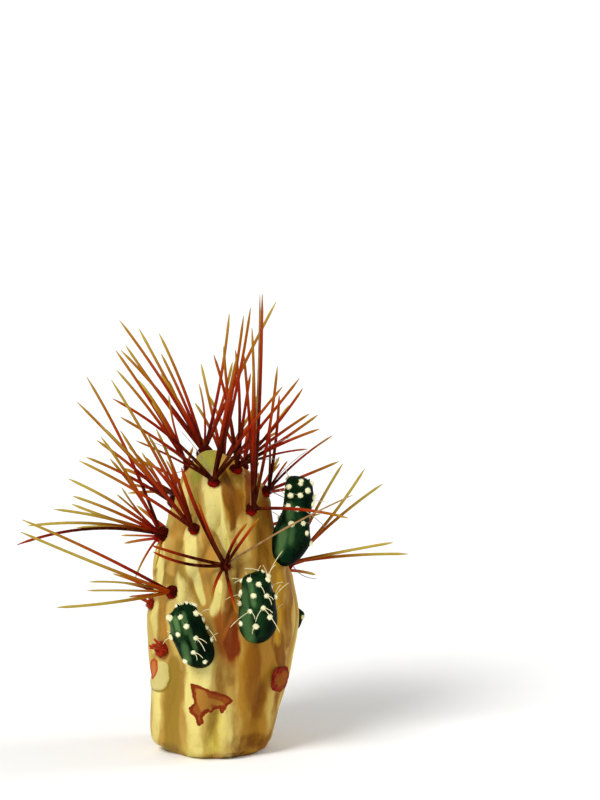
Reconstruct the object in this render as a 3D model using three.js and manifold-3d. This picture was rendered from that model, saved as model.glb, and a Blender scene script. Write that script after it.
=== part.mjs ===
// A stem of a fire cactus, cut off flat and standing on its cut, with its young offsets and its long spines.
// Millimetres, +Z up. The origin is the middle of the cut, and the front of the stem faces -Y.
import * as THREE from "three";
import { mergeVertices } from "three/addons/utils/BufferGeometryUtils.js";
import Module from "manifold-3d";

const wasm = await Module();
wasm.setup();

// Driving dimensions
const STEM_HEIGHT = 90.5;
const CUT_RADIUS = 14.6;
const AXIS_DRIFT = 3.3; // the stem leans this far to the right of its cut
const AXIS_DRIFT_HEIGHT = 38;
const CROWN_RETURN = 2.4; // the crown leans back to the left by this
const CROWN_FROM = 78;
const SEAT_GAP = 0.3; // between two pieces that touch
const DRAWING_TILT = 12; // degrees above the horizon from which the front drawing is seen

const STEM_COLUMNS = 56;
const RIDGE_HEIGHT = 3;
const PAD_ACROSS = 1.8; // half sizes of an areole's felt pad
const PAD_ALONG = 1.7;
const PAD_DEPTH = 1.3;
const SCAB_DEPTH = 0.8;

const TAN = 0xc9b469;
const GREEN = 0x1f4d2c;
const RUST = 0x7e2410;
const SCAR = 0x8c4420;

const radians = (degrees) => (degrees * Math.PI) / 180;
const clamp = (value, low, high) => Math.min(Math.max(value, low), high);
const smooth = (low, high, value) => {
  const t = clamp((value - low) / (high - low), 0, 1);
  return t * t * (3 - 2 * t);
};

// A seeded random number from 0 to 1, the same on every run.
function seeded(seed) {
  let state = seed;
  return () => {
    state = (state * 16807) % 2147483647;
    return state / 2147483647;
  };
}

// The front drawing: across, up and toward the viewer, who looks down by DRAWING_TILT.
const ACROSS = new THREE.Vector3(1, 0, 0);
const UP = new THREE.Vector3(0, Math.sin(radians(DRAWING_TILT)), Math.cos(radians(DRAWING_TILT)));
const TOWARD = new THREE.Vector3(0, -Math.cos(radians(DRAWING_TILT)), Math.sin(radians(DRAWING_TILT)));

// Areoles: azimuth in degrees (0 front, 90 right) and height, with the ridge of the stem that runs down from
// each. A ridge's sway is how far its foot strays to the right. tips are where the spines of that areole end in
// the front drawing: across, up, and the bow upwards if it is marked. A bunch at the back is a fan instead: how
// many spines, how steeply they rise, and how long they are. pad is the size of the areole's felt, deep is how
// thick the felt is, and stout how thick the spines are beside the others.
const SPINE_BUNCHES = [
  {
    name: "spines_crown_back",
    at: [-150, 87.9],
    pad: 1.3,
    deep: 1.5,
    ridge: { length: 20, width: 4.6, height: 1.6 },
    tips: [
      [-27.5, 128, 1], [-25.5, 120.5], [-27, 119], [-21.5, 125.5], [-15.5, 124, 1], [-15, 118], [-15, 112],
      [-12.5, 110], [-3.5, 109], [5.5, 130, -1], [6.5, 115.5], [19.5, 133.5],
    ],
  },
  {
    name: "spines_crown_left",
    at: [-97, 85.4],
    ridge: { length: 20, width: 4.6, height: 1.6 },
    tips: [
      [-28.5, 119], [-28, 113, 0.8], [-21.5, 110], [-17.5, 103.5], [-12.5, 105.5],
    ],
  },
  {
    name: "spines_crown_front",
    at: [-8, 82.6],
    ridge: { length: 25, width: 5.2, height: 2.8, sway: 6 },
    tips: [
      [-29, 104.5, 2], [-26.5, 99, 0.8], [-22, 92, 0.6], [8, 117], [10, 129, -0.8], [12, 131.5, -1],
      [21.5, 108], [26.5, 110.5],
    ],
  },
  {
    name: "spines_crown_right",
    at: [46, 85.6],
    ridge: { length: 22, width: 4.6, height: 1.6 },
    tips: [
      [1, 117.5, 1], [4, 120], [7.5, 119], [12, 112], [27.5, 107.5], [29.5, 100], [32.5, 95.5, 0.8],
      [29, 89.5, 1],
    ],
  },
  {
    name: "spines_front_right",
    at: [37, 75.4],
    ridge: { length: 26, width: 5, height: 3, sway: -5 },
    pad: 1.1,
    tips: [
      [15.5, 135.5, -0.6], [12.5, 125.5, 0.6], [10, 118, 0.5], [13, 114], [20, 114], [41, 69, 1.2],
    ],
  },
  {
    name: "spines_right",
    at: [70, 78.8],
    ridge: { length: 26, width: 5 },
    tips: [
      [20.5, 105.5, -0.5], [17.5, 97], [36.5, 93.5], [23, 86],
    ],
  },
  {
    name: "spines_left_upper",
    at: [-84, 75.5],
    ridge: { length: 22, width: 4.8 },
    tips: [
      [-34, 92], [-37, 87, 0.8], [-24.5, 90], [-20.5, 88.5],
    ],
  },
  {
    name: "spines_front_left",
    at: [-31, 69.6],
    ridge: { length: 26, width: 5, height: 3, sway: 3 },
    tips: [
      [-39.5, 103.5], [-18.5, 94, 0.8], [-16, 95.5, 0.8], [-29, 110, 0.8], [-26.5, 95], [-39, 86, 1],
      [-32.5, 97], [-4.8, 70.8, 1],
    ],
  },
  {
    name: "spines_left",
    at: [-80, 64.5],
    ridge: { length: 15, width: 6.5, height: 3.2, sway: 2 },
    pad: 1.4,
    deep: 1.6,
    tips: [
      [-37, 111, 1.4], [-32.5, 93, 0.8], [-30, 86.5], [-28, 76], [-26.5, 78], [-42.5, 80.5, 1], [-41, 75.5],
      [-41.5, 73], [-46.5, 71.5, 1], [-54.5, 66.5, 2], [-57.5, 61, 3.2], [-40, 66, 1.2], [-22.5, 51],
      [-16.5, 54.5],
    ],
  },
  {
    name: "spines_middle",
    at: [3.4, 59.6],
    ridge: { length: 20, width: 5, height: 2.4, sway: -2 },
    pad: 0.9,
    stout: 1.4,
    dry: 8, // the place in tips of one slim dry spine
    tips: [
      [-8.5, 84, -1], [-3.5, 74, -0.6], [11, 67.5], [14.5, 69], [-17.5, 61, -0.4], [-17, 59, -1.7],
      [0.5, 45], [8, 41], [42.5, 76, 1],
    ],
  },
  {
    name: "spines_left_lower",
    at: [-43.5, 50.7],
    ridge: { length: 24, width: 5.6, height: 2.4, sway: -3 },
    pad: 1.15,
    tips: [
      [-56, 68.5, 0.8], [-56, 65], [-36, 50], [-36.5, 47.5], [-45.5, 42.5],
    ],
  },
  {
    name: "spines_right_lower",
    at: [99, 55.4],
    ridge: { length: 30, width: 6.8, height: 2.4 },
    tips: [
      [39.5, 85], [46, 83.5, -1], [51.5, 79], [54.5, 61.5], [59, 58, 0.8],
    ],
  },
  {
    name: "spines_back_1",
    at: [114, 85],
    ridge: { length: 22, width: 4.6, height: 1.2 },
    fan: { count: 6, rise: 30, length: 34 },
  },
  {
    name: "spines_back_2",
    at: [172, 83.5],
    ridge: { length: 24, width: 4.8, height: 1.6 },
    fan: { count: 8, rise: 25, length: 36 },
  },
  {
    name: "spines_back_3",
    at: [141, 74],
    ridge: { length: 26, width: 5 },
    fan: { count: 7, rise: 8, length: 34 },
  },
  {
    name: "spines_back_4",
    at: [-160, 73],
    ridge: { length: 26, width: 5 },
    fan: { count: 8, rise: 6, length: 36 },
  },
  {
    name: "spines_back_5",
    at: [-122, 75],
    ridge: { length: 24, width: 4.8 },
    fan: { count: 6, rise: 10, length: 32 },
  },
  {
    name: "spines_back_6",
    at: [167, 60],
    ridge: { length: 26, width: 6, height: 2.8 },
    fan: { count: 8, rise: 0, length: 32 },
  },
  {
    name: "spines_back_7",
    at: [-139, 60],
    ridge: { length: 26, width: 6, height: 2.8 },
    fan: { count: 7, rise: 0, length: 32 },
  },
  {
    name: "spines_back_8",
    at: [134, 50],
    ridge: { length: 26, width: 6, height: 2.4 },
    fan: { count: 6, rise: -4, length: 26 },
  },
  {
    name: "spines_back_9",
    at: [-127, 43.5],
    ridge: { length: 26, width: 6.4, height: 2.4 },
    fan: { count: 5, rise: -4, length: 26 },
  },
  {
    name: "spines_back_10",
    at: [177, 43],
    ridge: { length: 28, width: 6.6, height: 2.4 },
    fan: { count: 6, rise: -6, length: 26 },
  },
];

// Old areoles low on the stem, which have shed their spines and keep only stubs, or a flat scab of this half
// width and half height.
const BARE_AREOLES = [
  {
    name: "bare_areole_left",
    at: [-69, 45.5],
    ridge: { length: 22, width: 5.6, height: 2.6 },
    pad: 0.9, stubs: 3,
  },
  {
    name: "bare_areole_left_lower",
    at: [-53, 33.4],
    ridge: { length: 26, width: 6, height: 1.8 },
    pad: 1.4, stubs: 8,
  },
  {
    name: "bare_areole_right_lower",
    at: [57, 24],
    ridge: { length: 22, width: 7, height: 1.6 },
    scab: [4.2, 3.6], stubs: 0,
  },
  {
    name: "bare_areole_back_1",
    at: [158, 27],
    ridge: { length: 25, width: 6.4, height: 2 },
    pad: 1, stubs: 6,
  },
  {
    name: "bare_areole_back_2",
    at: [-166, 19],
    ridge: { length: 19, width: 6.4, height: 2 },
    pad: 0.9, stubs: 4,
  },
  {
    name: "bare_areole_back_3",
    at: [-138, 22],
    ridge: { length: 19, width: 6.4, height: 2 },
    pad: 1, stubs: 5,
  },
];

// Offsets: young joints that stand on the stem at an areole and lean outwards. Each narrows by its taper over
// the shares of its length in neck, and bows to the right by its bend. felts are the felt cushions that the front
// drawing shows on them, across and up, and a spiral gives the rest. hairs are bristles: the cushion that each
// stands on, and where it ends.
const OFFSETS = [
  {
    name: "offset_left",
    at: [-12, 30.6],
    lean: [-38, 31],
    length: 21.8,
    radius: 5.1,
    taper: 0.12,
    neck: [0.55, 0.9],
    bend: -0.9,
    felts: [
      [-5.1, 29.3], [-7, 26.6], [-1.8, 26.6], [-4.2, 33.6], [-4.4, 40.5], [-5.7, 42.9], [-7.2, 36.9],
      [-7.2, 41.9], [-9.4, 42.3], [-8.4, 39.3], [-9.3, 34.8], [-11.6, 33.6], [-10.8, 39.5], [-12.2, 39.5],
      [-1.7, 36.3], [-0.3, 32.7], [-2.1, 38.7], [-4.6, 43.8],
    ],
    hairs: [
      [3, -1.5, 29.4], [3, -0.9, 31.8], [0, -2.1, 27.3], [0, -3.9, 26.7], [14, 1.8, 32.4], [4, -2.2, 39.9],
      [15, 2.4, 34.8], [8, -11.4, 44.4], [11, -14.1, 31.5],
    ],
  },
  {
    name: "offset_front",
    at: [30, 37.2],
    lean: [-2, 21],
    length: 23.4,
    radius: 5.8,
    taper: 0.28,
    neck: [0.35, 0.9],
    bend: 0.5,
    felts: [
      [13.8, 52.5], [17.3, 51.6], [9.9, 50.1], [11.7, 50.1], [14.3, 49.5], [16.4, 50.6], [8.4, 46.2],
      [9.6, 47.1], [13.2, 46.2], [16.5, 46.2], [9.3, 43.6], [11.9, 41.4], [15.5, 42.7], [9.6, 37.8],
      [13.7, 37.2], [17.3, 39.6], [19.4, 45.6],
    ],
    hairs: [
      [0, 10.2, 54], [1, 19.5, 55.2], [1, 21.6, 59.4], [16, 21, 49.2], [16, 23.4, 49.8], [6, 4.5, 44.7],
      [11, 6, 36.6], [12, 13.5, 38.1], [12, 18.6, 40.8], [12, 20.7, 35.1], [14, 12.6, 34.5],
      [4, 16.2, 46.5], [9, 18.3, 43.2], [9, 18.9, 44.7], [2, 6.3, 51], [5, 15.6, 55.2], [2, 7.2, 49.6],
      [11, 13.3, 39],
    ],
  },
  {
    name: "offset_right",
    at: [74, 56.9],
    lean: [78, 12],
    length: 28,
    radius: 5.8,
    taper: 0.27,
    neck: [0.3, 0.6],
    bend: 1.5,
    felts: [
      [26.7, 78.7], [23.7, 77.8], [24, 75.6], [26.6, 75.9], [28.7, 76.8], [23.5, 72.8], [26, 72],
      [30.2, 72.9], [24.1, 67], [27.3, 67.8], [28.2, 64.6], [27, 80.7], [30, 79.5], [32.4, 75.3],
      [30.6, 61.5],
    ],
    hairs: [
      [1, 22, 77.4], [13, 34.2, 76.8],
    ],
  },
  {
    name: "offset_bud",
    at: [108, 35.1],
    lean: [110, 24],
    length: 6.5,
    radius: 2.6,
    taper: 0.1,
    neck: [0.3, 0.9],
    spiral: 5,
  },
  {
    name: "offset_back",
    at: [-148, 32],
    lean: [-150, 25],
    length: 21,
    radius: 5.2,
    taper: 0.2,
    neck: [0.3, 0.9],
    bend: 0.8,
  },
];
const OFFSET_RIDGE = { length: 26, width: 7, height: 2 };
const OFFSET_SUNK = 1.6;

// Stem

// The side of the stem, radius and height, from the edge of the cut to the middle of the crown.
const SIDE = [
  [CUT_RADIUS, 0], [16.9, 2.4], [18.1, 8], [18.8, 16], [19.5, 25], [20.6, 34], [21.2, 41], [20.1, 48],
  [18.7, 54], [17, 61], [14.3, 67], [12.9, 73], [11.8, 79], [9.2, 83.4], [5.9, 87], [2.8, 89.8],
  [0, STEM_HEIGHT],
];
const SIDE_STEPS = 12;

// A Catmull-Rom curve through SIDE, as rows of radius, height and length so far.
const sideRows = (() => {
  const rows = [];
  const point = (i) => SIDE[clamp(i, 0, SIDE.length - 1)];
  for (let i = 0; i < SIDE.length - 1; i++) {
    for (let k = 0; k < SIDE_STEPS || (i === SIDE.length - 2 && k === SIDE_STEPS); k++) {
      const t = k / SIDE_STEPS;
      const [a, b, c, d] = [point(i - 1), point(i), point(i + 1), point(i + 2)];
      const at = [0, 1].map(
        (n) =>
          0.5 *
          (2 * b[n] +
            (c[n] - a[n]) * t +
            (2 * a[n] - 5 * b[n] + 4 * c[n] - d[n]) * t * t +
            (3 * b[n] - a[n] - 3 * c[n] + d[n]) * t * t * t),
      );
      const last = rows.at(-1);
      const length = last ? last.length + Math.hypot(at[0] - last.radius, at[1] - last.height) : 0;
      rows.push({ radius: Math.max(at[0], 0), height: at[1], length });
    }
  }
  return rows;
})();
const SIDE_LENGTH = sideRows.at(-1).length;

// The row of the side at a value of one of its columns, with the outward normal of the side there.
function sideAt(key, value) {
  let low = 0;
  let high = sideRows.length - 1;
  while (high - low > 1) {
    const middle = (low + high) >> 1;
    if (sideRows[middle][key] <= value) low = middle;
    else high = middle;
  }
  const [a, b] = [sideRows[low], sideRows[high]];
  const t = clamp((value - a[key]) / (b[key] - a[key]), 0, 1);
  const mix = (name) => a[name] + (b[name] - a[name]) * t;
  const step = Math.hypot(b.radius - a.radius, b.height - a.height);
  return {
    radius: mix("radius"),
    height: mix("height"),
    length: mix("length"),
    normal: [(b.height - a.height) / step, (a.radius - b.radius) / step],
  };
}

// How far the stem's axis lies to the right of the middle of the cut.
const drift = (height) =>
  AXIS_DRIFT * smooth(0, AXIS_DRIFT_HEIGHT, height) -
  CROWN_RETURN * smooth(CROWN_FROM, STEM_HEIGHT, height);

const ridges = [...SPINE_BUNCHES, ...BARE_AREOLES, ...OFFSETS].map((piece) => {
  const ridge = piece.ridge ?? OFFSET_RIDGE;
  return {
    azimuth: radians(piece.at[0]),
    top: sideAt("height", piece.at[1]).length,
    length: ridge.length,
    width: ridge.width,
    height: ridge.height ?? RIDGE_HEIGHT,
    sway: ridge.sway ?? 0,
  };
});

const ABOVE_AREOLE = 3.6; // how fast a ridge falls away above its areole
const ABOVE_REACH = 2.2; // and how far up it is followed, in those lengths
const BELOW_REACH = 1.05; // how far down a ridge is followed, in its own lengths
const RIDGE_TAPER = 0.75; // how much narrower a ridge is at its foot
const RIDGE_TOP = 0.82; // how high a ridge stands at its areole, as a share of its height
const GROOVE_SOFTNESS = 0.28;

// How far the ridges lift the surface at an azimuth and a length along the side.
function relief(azimuth, length, radius) {
  let total = 0;
  for (const ridge of ridges) {
    const below = ridge.top - length;
    if (below > ridge.length * BELOW_REACH || below < -ABOVE_AREOLE * ABOVE_REACH) continue;
    const share = clamp(below / ridge.length, 0, 1);
    const width = ridge.width * (1 - RIDGE_TAPER * share * share);
    const round = 2 * radius * Math.sin((azimuth - ridge.azimuth) / 2);
    const away = (round - ridge.sway * share) / width;
    if (Math.abs(away) >= 1) continue;
    const belly = (1 - share) ** 0.6 * (RIDGE_TOP + 0.9 * share);
    const fall = below < 0 ? RIDGE_TOP * Math.exp(-((below / ABOVE_AREOLE) ** 2)) : belly;
    const across = (1 - away * away) ** 1.1;
    total += Math.exp((ridge.height * fall * across) / GROOVE_SOFTNESS) - 1;
  }
  return GROOVE_SOFTNESS * Math.log1p(total);
}

// Eight soft ribs low on the stem, which the ridges above run into.
const RIB_AZIMUTHS = [-66, -16, 18, 60, 104, 150, 195, 241].map(radians);
const RIB_HEIGHT = 1.3;
const RIB_FADE = [22, 44]; // the heights between which the ribs die away
const RIB_FLANK = [0.08, 0.4]; // from the flat back of a rib to its foot, in radians from its middle
const RIB_AT_CUT = 0.6; // how high a rib stands at the cut, as a share of its height
function ribs(azimuth, height) {
  const nearest = Math.min(
    ...RIB_AZIMUTHS.map((rib) => Math.abs(Math.sin((azimuth - rib) / 2)) * 2),
  );
  return RIB_HEIGHT * (1 - smooth(...RIB_FADE, height)) * (1 - smooth(...RIB_FLANK, nearest));
}

// The edge of the cut is worn away at the left of the front.
const WORN = { azimuth: radians(-58), spread: radians(34), depth: 2.4, length: 6 };
function worn(azimuth, length) {
  const away = (2 * Math.sin((azimuth - WORN.azimuth) / 2)) / WORN.spread;
  return WORN.depth * Math.exp(-away * away) * (1 - smooth(0, WORN.length, length));
}

// A point of the stem's surface, grown outwards by extra.
function stemPoint(azimuth, length, extra = 0) {
  const side = sideAt("length", length);
  const bottom = smooth(0, 4, length);
  const lift =
    relief(azimuth, length, side.radius) +
    ribs(azimuth, side.height) * (RIB_AT_CUT + (1 - RIB_AT_CUT) * bottom) -
    worn(azimuth, length) +
    extra;
  const radius = side.radius + side.normal[0] * lift;
  const height = side.height + side.normal[1] * lift * bottom;
  return new THREE.Vector3(
    drift(side.height) + radius * Math.sin(azimuth),
    -radius * Math.cos(azimuth),
    height,
  );
}

// The surface point and outward normal at an azimuth and a height of the plain side.
function seatAt([degrees, height]) {
  const azimuth = radians(degrees);
  const length = sideAt("height", height).length;
  const point = stemPoint(azimuth, length);
  const step = 1.2;
  const turn = step / Math.max(sideAt("length", length).radius, 4);
  const along = stemPoint(azimuth, length + step).sub(stemPoint(azimuth, length - step));
  const round = stemPoint(azimuth + turn, length).sub(stemPoint(azimuth - turn, length));
  return { point, normal: round.cross(along).normalize() };
}

// Rows of the stem's mesh: closer together near the crown, where the ridges are shorter.
const LOW_ROWS = 12;
const HIGH_ROWS = 22;
const ROW_CHANGE = 52;
const stemRows = [
  ...Array.from({ length: LOW_ROWS }, (_, i) => (ROW_CHANGE * i) / LOW_ROWS),
  ...Array.from({ length: HIGH_ROWS }, (_, i) => ROW_CHANGE + ((SIDE_LENGTH - ROW_CHANGE) * i) / HIGH_ROWS),
];

// A closed mesh from rings of points, with one point at each end.
function closedRings(rings, first, last) {
  const columns = rings[0].length;
  const positions = [first, ...rings.flat(), last].flatMap((p) => [p.x, p.y, p.z]);
  const index = [];
  const at = (row, column) => 1 + row * columns + (column % columns);
  const end = positions.length / 3 - 1;
  for (let column = 0; column < columns; column++) {
    index.push(0, at(0, column + 1), at(0, column));
    for (let row = 0; row < rings.length - 1; row++) {
      index.push(at(row, column), at(row, column + 1), at(row + 1, column + 1));
      index.push(at(row, column), at(row + 1, column + 1), at(row + 1, column));
    }
    index.push(end, at(rings.length - 1, column), at(rings.length - 1, column + 1));
  }
  const geometry = new THREE.BufferGeometry();
  geometry.setAttribute("position", new THREE.Float32BufferAttribute(positions, 3));
  geometry.setIndex(index);
  return geometry;
}

function stemGeometry(extra = 0) {
  const rings = stemRows.map((length) =>
    Array.from({ length: STEM_COLUMNS }, (_, i) =>
      stemPoint((2 * Math.PI * i) / STEM_COLUMNS, length, extra),
    ),
  );
  const sink = extra ? -1 : 0;
  rings[0].forEach((p) => (p.z = sink));
  return closedRings(
    rings,
    new THREE.Vector3(0, 0, sink),
    new THREE.Vector3(drift(STEM_HEIGHT), 0, STEM_HEIGHT + extra),
  );
}

// Booleans

function solidOf(geometry) {
  const bare = geometry.clone();
  bare.deleteAttribute("normal");
  bare.deleteAttribute("uv");
  const merged = mergeVertices(bare, 1e-4);
  return new wasm.Manifold(
    new wasm.Mesh({
      numProp: 3,
      vertProperties: new Float32Array(merged.attributes.position.array),
      triVerts: new Uint32Array(merged.index.array),
    }),
  );
}

function geometryOf(solid) {
  const mesh = solid.getMesh();
  const geometry = new THREE.BufferGeometry();
  geometry.setAttribute("position", new THREE.Float32BufferAttribute(mesh.vertProperties, 3));
  geometry.setIndex(new THREE.BufferAttribute(mesh.triVerts, 1));
  return geometry;
}

// The largest body of a solid: a cut can leave scraps.
function largestBody(solid) {
  return solid.decompose().reduce((best, body) => (body.volume() > best.volume() ? body : best));
}

const joined = (solids) => solids.reduce((whole, solid) => whole.add(solid));

// Offsets

const OFFSET_COLUMNS = 14;
const OFFSET_ROWS = 11;
const BUD_LENGTH = 10; // an offset shorter than this is a bud, and has no bristles yet
const FELT_SPIRAL = 22; // cushions in the whole spiral of an offset
const FELT_RADIUS = 0.78;
const GOLDEN_ANGLE = radians(137.508);

const FOOT_SHARE = 0.3; // how much of an offset's length is its rounded foot
const CROWN_SHARE = 0.84; // and where its rounded crown begins
const CUSHION_BUMP = 0.45; // the low bump under a felt cushion
const CUSHION_SPREAD = 2;
const BRISTLE_LENGTH = [3.5, 6];
const BRISTLE_AHEAD = 1; // how far forward a drawn bristle comes, at least

// Radius of an offset as a share of its widest, at a share of its length.
function offsetShape({ taper, neck }, share) {
  const foot = Math.sqrt(clamp(1 - (1 - share / FOOT_SHARE) ** 2, 0, 1));
  const body = share < FOOT_SHARE ? foot : 1 - taper * smooth(...neck, share);
  const above = Math.max(share - CROWN_SHARE, 0) / (1 - CROWN_SHARE);
  const crown = Math.sqrt(clamp(1 - above ** 2.4, 0, 1));
  return body * crown;
}

// Where an offset stands: its foot and how it is turned, from growing straight up.
const offsetPlaces = OFFSETS.map((offset) => {
  const seat = seatAt(offset.at);
  const [azimuth, lean] = offset.lean.map(radians);
  const growth = new THREE.Vector3(
    Math.sin(lean) * Math.sin(azimuth),
    -Math.sin(lean) * Math.cos(azimuth),
    Math.cos(lean),
  );
  return {
    offset,
    growth,
    foot: seat.point.clone().addScaledVector(seat.normal, -OFFSET_SUNK),
    turn: new THREE.Quaternion().setFromUnitVectors(new THREE.Vector3(0, 0, 1), growth),
  };
});

const bent = (offset, share) => (offset.bend ?? 0) * 4 * share * (1 - share);

// A point of an offset without its cushions, with the growth along +Z.
function plainOffsetPoint(offset, azimuth, share) {
  const radius = offset.radius * offsetShape(offset, share);
  return new THREE.Vector3(
    radius * Math.sin(azimuth) + bent(offset, share),
    -radius * Math.cos(azimuth),
    share * offset.length,
  );
}

// The felt cushions of an offset: those that the front drawing shows, then a spiral over what it hides.
const SPOT_TURNS = 60;
const SPOT_SHARES = 40;
const SPIRAL_CLEAR = 2.4;
const BEHIND = 0.3; // how far a cushion of the spiral faces away from the front, at least
function feltSpots({ offset, foot, turn }) {
  const spots = [];
  const add = (azimuth, share) => {
    spots.push({ azimuth, share, point: plainOffsetPoint(offset, azimuth, share) });
  };
  for (const [across, up] of offset.felts ?? []) {
    let best = { away: Infinity };
    for (let i = 0; i < SPOT_TURNS; i++) {
      const azimuth = (2 * Math.PI * i) / SPOT_TURNS;
      const out = new THREE.Vector3(Math.sin(azimuth), -Math.cos(azimuth), 0).applyQuaternion(turn);
      if (out.dot(TOWARD) < 0) continue;
      for (let k = 3; k < SPOT_SHARES; k++) {
        const share = k / SPOT_SHARES;
        const point = plainOffsetPoint(offset, azimuth, share).applyQuaternion(turn).add(foot);
        const away = Math.hypot(point.dot(ACROSS) - across, point.dot(UP) - up);
        if (away < best.away) best = { away, azimuth, share };
      }
    }
    add(best.azimuth, best.share);
  }
  const count = offset.spiral ?? FELT_SPIRAL;
  for (let i = 0; i < count; i++) {
    const azimuth = i * GOLDEN_ANGLE;
    const share = 0.17 + 0.8 * ((i + 0.5) / count) ** 0.82;
    const out = new THREE.Vector3(Math.sin(azimuth), -Math.cos(azimuth), 0).applyQuaternion(turn);
    const point = plainOffsetPoint(offset, azimuth, share);
    const crowded = spots.some((spot) => spot.point.distanceTo(point) < SPIRAL_CLEAR);
    if (offset.felts && (out.dot(TOWARD) > -BEHIND || crowded)) continue;
    add(azimuth, share);
  }
  return spots;
}

function offsetPoint(offset, spots, azimuth, share) {
  const plain = offset.radius * offsetShape(offset, share);
  let lift = 0;
  for (const spot of spots) {
    const round = 2 * Math.max(plain, 1.2) * Math.sin((azimuth - spot.azimuth) / 2);
    const away = Math.hypot(round, (share - spot.share) * offset.length) / CUSHION_SPREAD;
    lift = Math.max(lift, Math.exp(-away * away));
  }
  const radius = plain + CUSHION_BUMP * lift * smooth(0, 0.2, share);
  const height = share * offset.length + CUSHION_BUMP * lift * smooth(0.8, 1, share);
  return new THREE.Vector3(
    radius * Math.sin(azimuth) + bent(offset, share),
    -radius * Math.cos(azimuth),
    height,
  );
}

// How thick a needle is at a share of its length, beside its foot: still stout near its tip.
const needleTaper = (t) => (1 - 0.36 * t) * (1 - smooth(0.82, 1.02, t));

// Points along a spine from its root to its tip, bowed sideways in the front drawing.
function spinePath(root, tip, bow, shares) {
  const chord = tip.clone().sub(root);
  const side = TOWARD.clone().cross(chord).normalize();
  if (side.dot(UP) < 0) side.negate();
  return shares.map((t) =>
    root.clone().addScaledVector(chord, t).addScaledVector(side, bow * 4 * t * (1 - t)),
  );
}

// A three-sided needle along a path, with a ring at each of its shares and a point at the last.
function needle(path, shares, rootRadius) {
  const rings = path.slice(0, -1).map((point, i) => {
    const ahead = path[i + 1].clone().sub(path[Math.max(i - 1, 0)]).normalize();
    const side = new THREE.Vector3(0.31, 0.87, 0.39).cross(ahead).normalize();
    const other = ahead.clone().cross(side);
    const radius = rootRadius * needleTaper(shares[i]);
    return [0, 1, 2].map((k) => {
      const turn = (k * 2 * Math.PI) / 3;
      return point
        .clone()
        .addScaledVector(side, radius * Math.cos(turn))
        .addScaledVector(other, radius * Math.sin(turn));
    });
  });
  return solidOf(closedRings(rings, path[0], path.at(-1)));
}

const BRISTLE_SHARES = [0, 0.5, 1];
const BRISTLE_RADIUS = 0.22;
const BRISTLE_BOW = 0.35;
const bristle = (root, tip) =>
  needle(spinePath(root, tip, BRISTLE_BOW, BRISTLE_SHARES), BRISTLE_SHARES, BRISTLE_RADIUS);

// An offset with its cushions and bristles, where it stands.
function offsetSolid(place) {
  const { offset, foot, turn } = place;
  const toPlace = (point) => point.applyQuaternion(turn).add(foot);
  const spots = feltSpots(place);
  const rings = Array.from({ length: OFFSET_ROWS }, (_, row) => {
    const share = 0.02 + 0.97 * (row / (OFFSET_ROWS - 1)) ** 0.9;
    return Array.from({ length: OFFSET_COLUMNS }, (_, i) =>
      offsetPoint(offset, spots, (2 * Math.PI * i) / OFFSET_COLUMNS, share),
    );
  });
  const body = solidOf(
    closedRings(rings, new THREE.Vector3(0, 0, 0), new THREE.Vector3(0, 0, offset.length + 0.1)),
  );
  const random = seeded(7 + Math.round(offset.length * 10));
  const drawn = offset.felts?.length ?? 0;
  const local = [body];
  const bristles = [];
  const middles = spots.map((spot, i) => {
    const middle = offsetPoint(offset, spots, spot.azimuth, spot.share);
    const felt = new THREE.OctahedronGeometry(FELT_RADIUS * (0.88 + 0.34 * random()), 0);
    felt.translate(middle.x, middle.y, middle.z);
    local.push(solidOf(felt));
    const root = toPlace(middle.clone());
    if (i >= drawn && offset.length > BUD_LENGTH) {
      const out = new THREE.Vector3(
        Math.sin(spot.azimuth),
        -Math.cos(spot.azimuth),
        0.35 + smooth(0.7, 1, spot.share),
      ).normalize();
      const wander = new THREE.Vector3(random() - 0.5, random() - 0.5, random() - 0.5);
      const aim = out.addScaledVector(wander, 1.1).normalize();
      const [least, most] = BRISTLE_LENGTH;
      const reach = least + (most - least) * random();
      const tip = toPlace(middle.clone().addScaledVector(aim, reach));
      bristles.push(bristle(root, tip));
    }
    return root;
  });
  for (const [spot, across, up] of offset.hairs ?? []) {
    const root = middles[spot];
    const away = new THREE.Vector2(across - root.dot(ACROSS), up - root.dot(UP));
    const tip = root
      .clone()
      .addScaledVector(ACROSS, away.x)
      .addScaledVector(UP, away.y)
      .addScaledVector(TOWARD, 0.3 * away.length() + BRISTLE_AHEAD);
    bristles.push(bristle(root, tip));
  }
  return joined([placed(joined(local), foot, turn), ...bristles]);
}

function placed(solid, foot, turn) {
  const matrix = new THREE.Matrix4().compose(foot, turn, new THREE.Vector3(1, 1, 1));
  return solid.transform(matrix.elements);
}

// Spines

const SPINE_SHARES = [0, 0.4, 0.85, 1]; // where a spine has its rings and its point
const SPINE_ROOT_RADIUS = 0.5;
const THIN_ROOT_RADIUS = 0.36;
const DRY_ROOT_RADIUS = 0.3;
const CLEAR_OF_STEM = 0.8;
const CLEAR_OF_SPINES = 0.3;
const CLEAR_OF_OFFSETS = 1.6;
const CLEAR_OF_PADS = 3.4;
const NEAR_ROOT = 4;
const ROOT_LIFT = 0.75; // how far above the skin a spine begins, in its pad

// How far a point lies outside the stem, measured level from its axis.
function outsideStem(point) {
  if (point.z > STEM_HEIGHT + 2) return Infinity;
  const side = sideAt("height", Math.min(point.z, STEM_HEIGHT));
  const x = point.x - drift(point.z);
  const azimuth = Math.atan2(x, -point.y);
  const lift = relief(azimuth, side.length, side.radius) + ribs(azimuth, side.height);
  const above = Math.max(point.z - STEM_HEIGHT, 0);
  return Math.hypot(x, point.y) - side.radius - lift + above * 2;
}

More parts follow.
